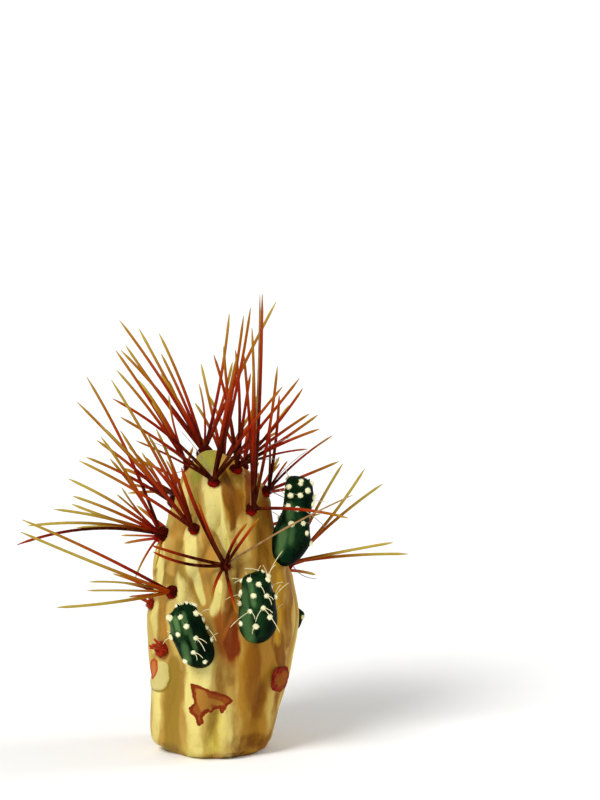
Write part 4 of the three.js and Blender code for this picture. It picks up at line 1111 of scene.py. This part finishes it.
def stem_finish():
    """Waxy skin: cream on the crests, tan on the flanks, brown in the grooves, partly as painted highlight and
    painted shade, with dry scars and a painted shadow under the cork flap.
    """
    skin = Finish("stem_skin", Coat_Roughness=0.45, Coat_Weight=0.01, Specular_IOR_Level=0.05)
    streaks = skin.mottle(150, 0.36, 0.68, stretch=(1, 1, 0.16))
    clouds = skin.mottle(70, 0.35, 0.65)
    ragged = skin.noise(520)
    soft = skin.times(skin.noise(190, stretch=(1, 1, 0.4)), 0.5)

    # Lighter on the crests and brown in the hollows: partly the skin's own tones, partly painted highlight and
    # painted shade.
    tone = skin.mix(skin.between(skin.value("crest"), 0.0, 0.8), "a87e34", "c8ac5a")
    tone = skin.tint(tone, streaks, 0.3, "bfa254")
    tone = skin.tint(tone, clouds, 0.3, "b8a254")
    tone = skin.tint(tone, skin.between(skin.value("hollow"), 0.1, 0.9), 0.5, "84581a")
    # The drawn strokes, with their painted rim light, painted highlight and painted shade.
    for name, *colours in SKIN_TONES:
        share = skin.between(skin.frayed(name, soft), 0.22, 0.74)
        tone = skin.tint(tone, share, 0.94, skin.mix(streaks, *colours))
    tone = skin.tint(tone, skin.mottle(420, 0.45, 0.75, stretch=(1, 1, 0.1)), 0.16, "9c7a3c")
    tone = skin.tint(tone, skin.mottle(900, 0.62, 0.72, detail=2), 0.25, "8a6a34")

    torn = skin.frayed("torn", ragged, 0.6)
    inner = skin.frayed("torn", ragged, 1.2)
    rim = skin.mix(skin.mottle(330, 0.4, 0.6), "7e2e0c", "722607")
    tone = skin.mix(skin.between(torn, 0.12, -0.12), tone, rim)
    tone = skin.mix(skin.between(inner, -0.7, -1.2), tone, skin.mix(clouds, "8e4c1c", "864214"))
    core = skin.times(skin.between(skin.frayed("core", soft), 0.3, 0.6), skin.between(inner, -0.8, -1.2))
    tone = skin.mix(core, tone, skin.mix(streaks, "a6742e", "9a6826"))
    # A painted shadow along the lower right edge of the cork flap.
    shadow = skin.between(skin.frayed("shadow", ragged, 0.25), 0.3, -0.1, 0.0, 0.8)
    tone = skin.mix(shadow, tone, "846e20")
    cork = skin.between(skin.frayed("cork", ragged, 0.25), 0.12, -0.12)
    tone = skin.mix(cork, tone, skin.mix(clouds, "c9ba76", "bfb068"))
    lobe = skin.frayed("lobe", ragged, 0.35)
    tone = skin.mix(skin.between(lobe, 0.15, -0.1), tone, "a84414")
    tone = skin.mix(skin.between(lobe, -0.3, -0.8), tone, "bc6c30")

    rings = skin.add(
        "ShaderNodeTexWave", dict(wave_type="RINGS", rings_direction="Z"),
        Vector=skin.place, Scale=150.0, Distortion=3.0, Detail=2.0,
    )
    cut = skin.mix(skin.times(rings.outputs["Fac"], 0.5), "b79a62", "8a6636")
    tone = skin.mix(skin.between(skin.value("skin"), 0.3, 0.7), cut, tone)
    wrinkles = skin.mottle(520, 0.3, 0.7, stretch=(1, 1, 0.22), detail=5)
    pores = skin.bump(skin.mottle(1600, 0.3, 0.7, detail=3), 0.00005, 0.5)
    return skin.feed(
        Base_Color=tone,
        Roughness=skin.between(streaks, 0.0, 1.0, 0.5, 0.66),
        Normal=skin.bump(wrinkles, 0.00018, 0.5, Normal=pores),
    )


def spine_finish():
    """Hard spines: dark red at the foot, rust on the way, mustard at the tip, and grey-tan on a dry one and on
    the pale needle of painted highlight.
    """
    spine = Finish("spine_horn", Coat_Weight=0.0, Specular_IOR_Level=0.03)
    ramp = spine.add("ShaderNodeValToRGB", Fac=spine.frayed("along", spine.value("tone")))
    stops = [
        (0, "2a0201"), (0.13, "500401"), (0.34, "8a1604"), (0.54, "9a3a06"), (0.74, "9a640e"), (1, "b29e3e"),
    ]
    for i, (position, code) in enumerate(stops):
        stop = ramp.color_ramp.elements[i] if i < 2 else ramp.color_ramp.elements.new(position)
        stop.position = position
        stop.color = linear(code)
    grain = spine.mottle(700, 0.35, 0.7, stretch=(1, 1, 0.2))
    tone = spine.tint(ramp.outputs["Color"], grain, 0.2, "a4480c")
    # Grey-tan on a dry spine, and on the pale needle that is a painted highlight.
    tone = spine.mix(spine.value("dry"), tone, spine.mix(grain, "8a6640", "ac9068"))
    rough = spine.between(grain, 0.0, 1.0, 0.42, 0.6)
    return spine.feed(Base_Color=tone, Roughness=rough, Normal=spine.bump(grain, 0.00004, 0.5))


def scab_finish():
    """A dry scab: dark red rim, rusty middle."""
    scab = Finish("dry_scab", Specular_IOR_Level=0.08)
    rim = scab.between(scab.frayed("reach", scab.noise(420), 0.6), 0.5, 0.8)
    middle = scab.mix(scab.mottle(300), "844008", "904e10")
    tone = scab.mix(rim, middle, scab.mix(scab.mottle(500), "8a2206", "6c1203"))
    cracks = scab.mottle(800, 0.35, 0.6)
    return scab.feed(
        Base_Color=tone,
        Roughness=scab.between(cracks, 0.0, 1.0, 0.6, 0.8),
        Normal=scab.bump(cracks, 0.00025, 0.8),
    )


def felt_finish(name, codes, rough=0.55, rim=None):
    """Bristles, hairs and felt: two close colours in small patches, and a brighter lower rim on a pad."""
    finish = Finish(name, Specular_IOR_Level=0.03)
    patches = finish.mottle(1200, 0.35, 0.65)
    tone = finish.mix(patches, *codes)
    if rim:
        tone = finish.tint(tone, finish.value("low"), 0.85, rim)
    low, high = rough - 0.08, rough + 0.08
    return finish.feed(
        Base_Color=tone,
        Roughness=finish.between(patches, 0.0, 1.0, low, high),
        Normal=finish.bump(finish.mottle(2600, 0.3, 0.7), 0.00008, 0.7),
    )


def offset_finish():
    """Nearly black green waxy skin, lighter on its low bumps and in mottled streaks, with painted light in soft
    patches on its left side and painted sheen in drawn streaks.
    """
    green = Finish("offset_skin", Coat_Weight=0.0, Specular_IOR_Level=0.01)
    streaks = green.mottle(230, 0.46, 0.66, stretch=(1, 1, 0.3))
    blotches = green.mottle(150, 0.5, 0.62, stretch=(1, 1, 0.5))
    lit = green.value("lit")
    # Painted light: the mottled streaks and soft patches grow lighter on the left side that faces the key
    # light.
    tone = green.tint("020c06", streaks, green.between(lit, 0.0, 1.0, 0.3, 0.9), "0b2b17")
    tone = green.tint(tone, green.value("bump"), 0.3, "1a3c18")
    tone = green.tint(tone, blotches, green.times(lit, 0.5), "284a26")
    # Painted sheen along the drawn streaks.
    tone = green.tint(tone, green.value("sheen_streak"), 0.9, green.mix(streaks, "44663a", "587a46"))
    tone = green.tint(tone, green.mottle(1500, 0.6, 0.7, detail=2), 0.12, "4c6c3c")
    rough = green.between(streaks, 0.0, 1.0, 0.34, 0.5)
    fine = green.mottle(1900, 0.3, 0.7, detail=3)
    return green.feed(Base_Color=tone, Roughness=rough, Normal=green.bump(fine, 0.00006, 0.6))


def floor_finish():
    """A matt floor, nearly white."""
    floor = Finish("pale_floor", Roughness=0.8, Specular_IOR_Level=0.0)
    return floor.feed(Base_Color=floor.mix(floor.mottle(30, 0.3, 0.7), "f9f9f7", "fafaf9"))


# The pieces

STEM_COLUMNS = 300
STEM_ROWS = 262
CUT_RINGS = 6


def wandering(azimuth, height, seed, waves):
    """A smooth seeded wave over the stem, from about -1 to 1: waves are (turns round it, length upwards)."""
    draw = seeded(seed)
    total = 0
    for turns, rise in waves:
        climb = 2 * math.pi * (height / rise + draw())
        total = total + np.sin(turns * azimuth + climb + 2 * np.sin(height / 9 + 6 * draw()))
    return total / len(waves)


def outline_distance(across, up, outline):
    """How far a point of the drawing lies outside an outline, below zero inside it."""
    corners = np.array(outline)
    ends = np.roll(corners, -1, axis=0)
    away = np.full(across.shape, np.inf)
    inside = np.zeros(across.shape, bool)
    for (ax, ay), (bx, by) in zip(corners, ends):
        dx, dy = bx - ax, by - ay
        share = np.clip(((across - ax) * dx + (up - ay) * dy) / (dx * dx + dy * dy), 0, 1)
        away = np.minimum(away, np.hypot(across - ax - share * dx, up - ay - share * dy))
        crosses = ((ay > up) != (by > up)) & (across < dx * (up - ay) / (dy if dy else 1e-9) + ax)
        inside ^= crosses
    return np.where(inside, -away, away)


FAR = 50  # a distance in millimetres that no scar reaches
FRONT_TO = -0.6  # the cosine of the azimuth where the drawn marks end
WRINKLE_HEIGHT = 0.06
FOLD_HEIGHT = 0.12
CORK_HEIGHT = 0.5
LOBE_HEIGHT = 0.25
TORN_DEPTH = 0.22
TORN_RIM = 0.12
DIMPLE_DEPTH = 0.4
DIMPLE_RIM = 0.22
BLUR_COLUMNS = 8  # the columns to either side that a crest or a hollow is measured against
BLUR_DEPTH = 0.7  # how far above or below them a full crest or hollow is
CUT_CREST = 0.4  # how much of a crest the cut face counts as
CARRIED_FROM = math.radians(65)


def carried(azimuth):
    """The sine of an azimuth, carried on straight past the flank, so that no mark there is drawn out."""
    signed = (azimuth + math.pi) % (2 * math.pi) - math.pi
    inner = np.clip(signed, -CARRIED_FROM, CARRIED_FROM)
    return np.sin(inner) + (signed - inner) * math.cos(CARRIED_FROM)


def past_patch(azimuth, up, patch):
    """About how far a point lies outside a rounded patch of the side, in millimetres."""
    turn, half_turn, middle, half_height = patch
    round_it = np.sin((azimuth - math.radians(turn)) / 2) * 2 / math.radians(half_turn)
    reach = (round_it ** 4 + ((up - middle) / half_height) ** 4) ** 0.25
    return (reach - 1) * half_height


STROKE_FADE = (1.5, 0.4)  # the shares of its half width between which a stroke fades
STROKE_END = 0.5  # how fast it fades past its ends, as a share of how fast it fades across


def stroke_value(across, up, strokes):
    """How much a point of the drawing lies in strokes that fade at their edges and past their ends."""
    value = np.zeros(across.shape)
    for x0, y0, x1, y1, start, end, strength in strokes:
        length = math.hypot(x1 - x0, y1 - y0)
        dx, dy = (x1 - x0) / length, (y1 - y0) / length
        along = (across - x0) * dx + (up - y0) * dy
        beside = (across - x0) * dy - (up - y0) * dx
        kept = np.clip(along, 0, length)
        width = start + (end - start) * kept / length
        away = np.hypot(beside, STROKE_END * (along - kept)) / width
        value = np.maximum(value, strength * smooth(*STROKE_FADE, away))
    return value


def scar_distances(turns, across, up):
    """How far each point of the skin lies outside each scar, below zero inside it."""
    cork = np.maximum(outline_distance(across, up, CORK_FLAP), past_patch(turns, up, CORK_PATCH))
    lobe = np.maximum(outline_distance(across, up, BROWN_LOBE), past_patch(turns, up, LOBE_PATCH))
    shadow = outline_distance(across - CORK_SHADOW, up + CORK_SHADOW, CORK_FLAP)
    torn = outline_distance(across, up, TORN_SCAR)
    behind = np.where(np.cos(turns) > FRONT_TO, 0, FAR)
    return dict(torn=torn + behind, cork=cork + behind, shadow=shadow + behind, lobe=lobe + behind)


def skin_relief(turns, height, lengths, plain, scars):
    """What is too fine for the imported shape, in millimetres: wrinkles, folds, scars and dimples."""
    wrinkles = WRINKLE_HEIGHT * wandering(turns, height, 31, [(23, 60), (37, -90), (51, 45), (68, -70)])
    folds = FOLD_HEIGHT * wandering(turns, height, 77, [(9, 34), (14, -27), (6, 21)])
    extra = (wrinkles + folds) * smooth(0, 3, lengths) * smooth(0, 5, SIDE_LENGTH - lengths)
    torn = scars["torn"]
    extra = extra + CORK_HEIGHT * smooth(0.12, -0.35, scars["cork"])
    extra = extra + LOBE_HEIGHT * smooth(0.1, -0.3, scars["lobe"])
    extra = extra - TORN_DEPTH * smooth(0.15, -0.3, torn) + TORN_RIM * hump(torn, 0.25, 0.3)
    for point, _ in SEATS.values():
        away = np.linalg.norm(plain - point, axis=-1)
        extra = extra - DIMPLE_DEPTH * hump(away, 0, 3.2) + DIMPLE_RIM * hump(away, 3.9, 1.1)
    return extra


def skin_colours(turns, height, across, up, lift):
    """How strongly each colour shows at each point of the skin: strokes in front, a rule at the back."""
    strayed = across + 0.6 * wandering(turns, height, 41, [(5, 21), (8, -13), (3, 34), (19, 9)])
    strayed_up = up + 0.9 * wandering(turns, height, 43, [(9, 26), (14, -31), (6, 19)])
    at_front = smooth(FRONT_TO, FRONT_TO / 2, np.cos(turns))
    colours = {name: at_front * stroke_value(strayed, strayed_up, those) for name, those in STROKES.items()}
    # Crest and hollow, measured against the columns to either side, lighten and darken the skin: partly its own
    # tones, partly painted highlight and painted shade.
    around = lift
    for shift in range(1, BLUR_COLUMNS + 1):
        around = around + np.roll(lift, shift, axis=1) + np.roll(lift, -shift, axis=1)
    above = (lift - around / (2 * BLUR_COLUMNS + 1)) / BLUR_DEPTH
    hollow = np.clip(-above, 0, 1)
    crest = np.clip(0.5 * above + 0.5 * np.clip(lift / RIDGE_HEIGHT, 0, 1), 0, 1)
    at_back = smooth(0.1, -0.3, np.cos(turns))
    clouds = wandering(turns, height, 5, [(3, 50), (5, -33), (8, 24)])
    low = (1 - smooth(6, 34, height)) * (0.22 + 0.1 * wandering(turns, height, 11, [(2, 40), (4, -26)]))
    # Brown clouds at the back, stronger in the hollows as painted shade; pale on the back's crests, partly
    # painted highlight; olive near the crown at the back; yellow low down towards the left and front.
    for name, values in (
        ("brown", 0.7 * at_back * smooth(0, 1, clouds + 0.5 * hollow)),
        ("pale", 0.9 * at_back * smooth(0.2, 1, crest - 0.3 * clouds)),
        ("olive", 0.6 * at_back * smooth(76, 88, height)),
        ("yellow", low * smooth(14, 4, across)),
    ):
        colours[name] = np.maximum(colours[name], values)
    core = at_front * stroke_value(across, up, TORN_CORE)
    return dict(colours, core=core, crest=crest, hollow=hollow, skin=np.ones(turns.shape))


def stem_piece(finish):
    """The whole stem with its skin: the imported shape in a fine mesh, with its relief and its colours."""
    turns, lengths = np.meshgrid(turns_of(STEM_COLUMNS), SIDE_LENGTH * np.arange(STEM_ROWS) / STEM_ROWS)
    radius, height, _, _ = side_at(LENGTH, lengths)
    lift = relief(turns, lengths, radius) + ribs(turns, height)
    plain = stem_point(turns, lengths)
    out = np.hypot(plain[..., 0] - drift(height), plain[..., 1])
    across = plain @ ACROSS + out * (carried(turns) - np.sin(turns))
    up = plain @ UP
    scars = scar_distances(turns, across, up)
    skin = stem_point(turns, lengths, skin_relief(turns, height, lengths, plain, scars))
    skin[0, :, 2] = 0
    cut = np.array([skin[0] * [share, share, 0] for share in np.arange(1, CUT_RINGS) / CUT_RINGS])
    rings = np.concatenate([cut, skin])
    mesh = ringed_mesh("stem_skin", [0, 0, 0], rings, [drift(STEM_HEIGHT), 0, STEM_HEIGHT])
    on_cut = {"crest": CUT_CREST, **dict.fromkeys(scars, FAR)}
    for name, values in {**scars, **skin_colours(turns, height, across, up, lift)}.items():
        middle = on_cut.get(name, 0)
        rows = np.concatenate([np.full(cut.shape[:2], middle), values])
        add_ring_values(mesh, name, rows, middle, values[-1].mean())
    mesh.materials.append(finish)
    piece_of("stem_skin", mesh, ["stem"])


PATH_SHARES = np.array([0, 0.07, 0.14, 0.22, 0.3, 0.38, 0.46, 0.54, 0.62, 0.7, 0.78, 0.86, 0.92, 0.97, 1])
NEEDLE_FULLNESS = 1.1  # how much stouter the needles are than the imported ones, which keep clear of each other
NEEDLE_SLIMMING = 0.28
LEAF_SLIMMING = 0.85


def needle_taper(slimming):
    """How thick a needle is along it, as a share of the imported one's foot: still stout near its tip."""
    tip = np.maximum(1 - smooth(0.92, 1.03, PATH_SHARES), 0.25)
    return NEEDLE_FULLNESS * (1 - slimming * PATH_SHARES) * tip


def path_mesh(name, spines):
    """Edges along each spine's bow, whose points carry how thick it is there, how far along, and its tone."""
    count = len(PATH_SHARES)
    paths = [spine_path(spine["root"], spine["tip"], spine["bow"], PATH_SHARES) for spine in spines]
    edges = [(i, i + 1) for i in range(count * len(spines)) if (i + 1) % count]
    mesh = mesh_of(name, np.concatenate(paths), edges=edges)
    tapers = [spine["radius"] * MM * needle_taper(spine.get("slimming", NEEDLE_SLIMMING)) for spine in spines]
    add_values(mesh, "thickness", np.concatenate(tapers))
    add_values(mesh, "along", np.tile(PATH_SHARES, len(spines)))
    for key in ("tone", "dry"):
        add_values(mesh, key, np.repeat([spine.get(key, 0) for spine in spines], count))
    return mesh


def needles_along(name, spines, sides, finish):
    """The needles of some spines or hairs, in one mesh."""
    return grown(name, path_mesh(name + "_paths", spines), TREES["needles"], Sides=sides, Finish=finish)


def hairs_on(name, mesh, finish, **values):
    """The short hairs that stand on a piece."""
    return grown(name, mesh.copy(), TREES["hairs"], Finish=finish, **values)


PAD_ACROSS = 1.8
PAD_ALONG = 1.7
PAD_DEPTH = 1.3
SCAB_DEPTH = 0.8
PAD_COLUMNS = 48
PAD_ROWS = 26
PAD_WAVES = (2, 3, 5, 8, 11)
PAD_LUMPS = 0.085
SCAB_LUMPS = 0.05
HAIR_LEAN = 0.3  # how far a fine hair comes towards the viewer, as a share of its reach
FINE_HAIR_RADIUS = 0.13
HIGHLIGHT_RADIUS = 0.34
TONE_SPREAD = 0.2  # how far the tones of one bunch spread
DRYNESS = 0.85


def pad_mesh(name, areole, finish):
    """The felt pad of an areole, a lumpy low cushion sunk into the skin, or the flat scab of a dead one."""
    point, normal = SEATS[areole["name"]]
    size = areole.get("pad", 1)
    scab = "scab" in areole
    across, along = areole.get("scab", (PAD_ACROSS * size, PAD_ALONG * size))
    deep = SCAB_DEPTH if scab else PAD_DEPTH * math.sqrt(size) * areole.get("deep", 1)
    polar = math.pi * (np.arange(PAD_ROWS) + 1) / (PAD_ROWS + 1)
    turns, angles = np.meshgrid(turns_of(PAD_COLUMNS), math.pi - polar)
    draw = seeded(len(areole["name"]) * 97 + int(areole["at"][1] * 10))
    lumps = sum(
        np.sin(count * turns + 6.3 * draw()) * np.sin(count * angles + 6.3 * draw()) for count in PAD_WAVES
    )
    swell = 1 + (SCAB_LUMPS if scab else PAD_LUMPS) * lumps * np.sin(angles)
    if scab:
        swell = swell * (1 + 0.14 * np.abs(np.sin(2 * turns + 0.5)) * np.sin(angles))
    round_it = [across * np.sin(angles) * np.cos(turns), along * np.sin(angles) * np.sin(turns)]
    local = swell[..., None] * np.stack([*round_it, deep * np.cos(angles)], axis=-1)
    width = unit(np.cross([0, 0, 1], normal))
    turn = np.column_stack([width, np.cross(normal, width), normal])
    mesh = ringed_mesh(name, [0, 0, -deep], local, [0, 0, deep], turn, point)
    add_ring_values(mesh, "reach", np.sin(angles))
    add_ring_values(mesh, "low", smooth(0.15, 0.85, -np.sin(angles) * np.sin(turns + 0.25)))
    mesh.materials.append(finish)
    return mesh


def fine_hairs(areole):
    """The fine grey hairs of a bunch, from its root to where the front drawing has their ends."""
    root, _ = root_of(areole)
    return [
        dict(root=root, tip=drawn_tip(root, across, up, HAIR_LEAN), bow=bow, radius=FINE_HAIR_RADIUS)
        for across, up, bow in FINE_HAIRS[areole["name"]]
    ]


def highlight_needle_of(spine):
    """A pale needle close at the left of a spine: a painted highlight of its lit side, in the dry spines'
    grey-tan.
    """
    aside = HIGHLIGHT_ASIDE * ACROSS
    root, tip = spine["root"] - aside, spine["tip"] - aside
    # The dry value gives it the dry spines' grey-tan, as a painted highlight.
    return {**spine, "root": root, "tip": tip, "radius": HIGHLIGHT_RADIUS, "dry": 0.9}


def areole_pieces(finishes):
    """Every areole: its pad, its spines or stubs, and the fine barbed hairs round them."""
    draw = seeded(20240)
    for number, areole in enumerate(SPINE_BUNCHES + BARE_AREOLES):
        name = areole["name"]
        if "tips" in areole:
            spines = drawn_spines(areole)
        elif "fan" in areole:
            spines = fanned_spines(areole, draw)
        else:
            spines = stubs(areole, draw)
        tones = seeded(900 + number)
        yellow = YELLOW_SPINES.get(name, [])
        for i, spine in enumerate(spines):
            yellower = yellow[i] if i < len(yellow) else 0
            spine["tone"] = areole.get("tone", 0) + TONE_SPREAD * (tones() - 0.5) + yellower
            spine["dry"] = DRYNESS if i == areole.get("dry") else 0
        if name in HIGHLIGHT_NEEDLES:
            spines.append(highlight_needle_of(spines[HIGHLIGHT_NEEDLES[name]]))
        scab = "scab" in areole
        kind = "scab" if scab else "old_pad" if "stubs" in areole else areole.get("felt", "pad")
        pad = pad_mesh(name + "_pad", areole, finishes[kind])
        piece_of(name + "_pad", pad, [name] if scab else ())
        if scab:
            continue
        horn = finishes["stub" if "stubs" in areole else "spine"]
        piece_of(name + "_needles", needles_along(name + "_needles", spines, 9, horn), [name])
        hairs = hairs_on(
            name + "_hairs", pad, finishes["pad_hair"],
            Density=2.4e6, Length=0.0008, Thickness=0.00006, Tilt=0.8, Seed=number + 1,
        )
        piece_of(name + "_hairs", hairs)
        if name in FINE_HAIRS:
            fine = needles_along(name + "_fine_hairs", fine_hairs(areole), 6, finishes["grey_hair"])
            piece_of(name + "_fine_hairs", fine)


FELT_RADIUS = 0.73
OFFSET_COLUMNS = 96
OFFSET_ROWS = 84
FIRST_ROW = 0.02  # the share of an offset's length where its first ring lies
LAST_ROW = 0.995
TOP_RISE = 0.1  # how far the point of its tip lies above its length
BRISTLE = dict(bow=0.35, radius=0.115)
LEAF = dict(bow=0.1, radius=0.45, slimming=LEAF_SLIMMING)
LEAVES_FROM = 0.35  # the share of an offset's length where its small teeth begin
BARE_LENGTH = 10  # an offset shorter than this has no teeth and no bristles behind


def offset_skin(place, spots, finish):
    """The green skin of an offset, which carries its bumps, its streaks of painted sheen and its left side that
    takes painted light.
    """
    offset = place["offset"]
    name = offset["name"]
    share = FIRST_ROW + (LAST_ROW - FIRST_ROW) * np.linspace(0, 1, OFFSET_ROWS) ** 0.9
    turns, shares = np.meshgrid(turns_of(OFFSET_COLUMNS), share)
    local = offset_point(offset, spots, turns, shares)
    top = [0, 0, offset["length"] + TOP_RISE]
    mesh = ringed_mesh(name + "_skin", [0, 0, 0], local, top, place["turn"], place["foot"])
    skin = stood(place, local)
    outward = outward_at(turns) @ place["turn"].T
    # Painted sheen: the drawn streaks of highlight, on the side that faces the front.
    sheen_streak = stroke_value(skin @ ACROSS, skin @ UP, OFFSET_SHEEN_STREAKS.get(name, [])) * (outward @ TOWARD > 0)
    bump = np.linalg.norm(local - plain_offset_point(offset, turns, shares), axis=-1) / BUMP_LIFT
    add_ring_values(mesh, "bump", bump)
    add_ring_values(mesh, "sheen_streak", sheen_streak)
    # Painted light: how far the skin faces the viewer and the left, where the key light comes from.
    add_ring_values(mesh, "lit", smooth(-0.1, 0.9, outward @ unit(0.8 * TOWARD - 0.9 * ACROSS)))
    mesh.materials.append(finish)
    return mesh


def offset_growths(place, spots):
    """The cushions of an offset (middle, direction, size), its bristles and its small teeth."""
    offset = place["offset"]
    draw = seeded(7 + round(offset["length"] * 10))
    drawn = len(offset.get("felts", []))
    cushions, bristles, leaves = [], [], []
    for i, (azimuth, share) in enumerate(spots):
        local = offset_point(offset, spots, np.array(azimuth), np.array(share))
        aim = unit(outward_at(azimuth, 0.35 + smooth(0.7, 1, share)))
        middle = stood(place, local)
        out = place["turn"] @ aim
        cushions.append((middle, out, FELT_RADIUS * (0.88 + 0.34 * draw()) * MM))
        if offset["length"] < BARE_LENGTH:
            continue
        if share > LEAVES_FROM:
            above = unit(place["growth"] - (place["growth"] @ out) * out)
            foot = middle + 0.95 * above - 0.5 * out
            leaves.append(dict(LEAF, root=foot, tip=middle + 1.2 * above + 0.55 * out))
        if i >= drawn:
            aim = unit(aim + 1.1 * np.array([draw() - 0.5, draw() - 0.5, draw() - 0.5]))
            tip = stood(place, local + aim * (3.5 + 2.5 * draw()))
            bristles.append(dict(BRISTLE, root=middle, tip=tip))
    for spot, across, up in offset.get("hairs", []):
        root = cushions[spot][0]
        bristles.append(dict(BRISTLE, root=root, tip=drawn_tip(root, across, up, HAIR_LEAN, 1)))
    return cushions, bristles, leaves


def spot_mesh(name, cushions):
    """A point for each felt cushion, which carries its direction and its size."""
    middles, outs, sizes = (np.array(values) for values in zip(*cushions))
    mesh = mesh_of(name, middles)
    add_values(mesh, "size", sizes)
    outward = mesh.attributes.new("outward", "FLOAT_VECTOR", "POINT")
    outward.data.foreach_set("vector", outs.astype(np.float32).ravel())
    return mesh


def offset_pieces(finishes):
    """Every offset: its green skin, felt cushions with wool on them, pale bristles and small teeth."""
    for place in OFFSET_PLACES:
        offset = place["offset"]
        name = offset["name"]
        spots = felt_spots(place)
        piece_of(name + "_skin", offset_skin(place, spots, finishes["offset"]), [name])
        cushions, bristles, leaves = offset_growths(place, spots)
        spots_mesh = spot_mesh(name + "_spots", cushions)
        felt = grown(name + "_felt", spots_mesh, TREES["tufts"], Lumps=0.3, Finish=finishes["felt"])
        made = [felt]
        seed = int(offset["length"] * 10)
        for kind, finish, density, length, tilt in (
            ("_wool", "felt", 2.2e7, 0.0004, 0.9), ("_fine_bristles", "bristle", 3e5, 0.0015, 0.5),
        ):
            values = dict(Density=density, Length=length, Thickness=0.00004, Tilt=tilt, Seed=seed)
            made.append(hairs_on(name + kind, felt, finishes[finish], **values))
            seed += 1
        for kind, spines, sides, finish in (
            ("_bristles", bristles, 6, "bristle"), ("_leaves", leaves, 8, "offset"),
        ):
            if spines:
                made.append(needles_along(name + kind, spines, sides, finishes[finish]))
        for mesh in made:
            piece_of(mesh.name, mesh)


# The studio

FRAME_MIDDLE = (26.7, 104.1)  # the middle of the picture in the drawing's millimetres
FRAME_HEIGHT = 240
CAMERA_DISTANCE = 4000
SENSOR = 36
FLOOR_HALF = 6
CLIP_START = 0.05
# Azimuth, elevation and strength of each lamp, and how wide it looks.
LAMPS = [("key", -38, 42, 2.45, 24), ("fill", 55, 30, 0.1, 60), ("rim", 105, 24, 0.9, 20)]


def studio():
    """The camera, a pale floor, a broad key light from the left, and a weak fill and a rim from the right."""
    scene = bpy.context.scene
    camera = add_object("camera", bpy.data.cameras.new("camera"))
    camera.data.sensor_width = SENSOR
    camera.data.lens = SENSOR * CAMERA_DISTANCE / FRAME_HEIGHT
    camera.data.clip_start = CLIP_START
    middle = ACROSS * FRAME_MIDDLE[0] + UP * FRAME_MIDDLE[1]
    camera.location = (middle + TOWARD * CAMERA_DISTANCE) * MM
    camera.rotation_euler = (math.pi / 2 - TILT, 0, 0)
    scene.camera = camera

    corners = [(x * FLOOR_HALF, y * FLOOR_HALF, 0) for x, y in ((-1, -1), (1, -1), (1, 1), (-1, 1))]
    floor_mesh = bpy.data.meshes.new("floor")
    floor_mesh.from_pydata(corners, [], [(0, 1, 2, 3)])
    floor_mesh.materials.append(floor_finish())
    add_object("floor", floor_mesh)

    for name, azimuth, elevation, strength, angle in LAMPS:
        lamp = bpy.data.lights.new(name, "SUN")
        lamp.energy = strength
        lamp.angle = math.radians(angle)
        add_object(name, lamp).rotation_euler = (math.radians(90 - elevation), 0, math.radians(azimuth))

    world = bpy.data.worlds.new("studio")
    world.use_nodes = True
    tree = world.node_tree
    background = tree.nodes["Background"]
    background.inputs["Color"].default_value = (1, 1, 1, 1)
    seen = add_node(tree, "ShaderNodeLightPath").outputs["Is Camera Ray"]
    strength = add_node(tree, "ShaderNodeMapRange", Value=seen, To_Min=0.5, To_Max=1.0)
    feed_socket(tree, background.inputs["Strength"], strength)
    scene.world = world
    scene.view_settings.view_transform = "Standard"


MOTTLE = mottle_group()
TREES = dict(needles=needle_tree(), hairs=hair_tree(), tufts=tuft_tree())


def main():
    """The finishes, the studio and every piece."""
    finishes = dict(
        spine=spine_finish(),
        scab=scab_finish(),
        pad=felt_finish("areole_felt", ("240402", "480602"), 0.8, "8c0c06"),
        orange_pad=felt_finish("orange_felt", ("380602", "5c0c04"), 0.8, "b2340c"),
        old_pad=felt_finish("old_felt", ("841a0a", "9a2c14"), 0.8, "a83c18"),
        stub=felt_finish("old_stub", ("a0361a", "b84c2a"), 0.6),
        pad_hair=felt_finish("areole_hair", ("4c0a05", "8e2a0c"), 0.6),
        grey_hair=felt_finish("grey_hair", ("8c7a78", "b4a49c"), 0.6),
        offset=offset_finish(),
        felt=felt_finish("cream_felt", ("ece5b4", "fbf8d6"), 0.85),
        bristle=felt_finish("pale_bristle", ("d8cd96", "f0e8c0"), 0.5),
    )
    studio()
    stem_piece(stem_finish())
    offset_pieces(finishes)
    areole_pieces(finishes)


main()
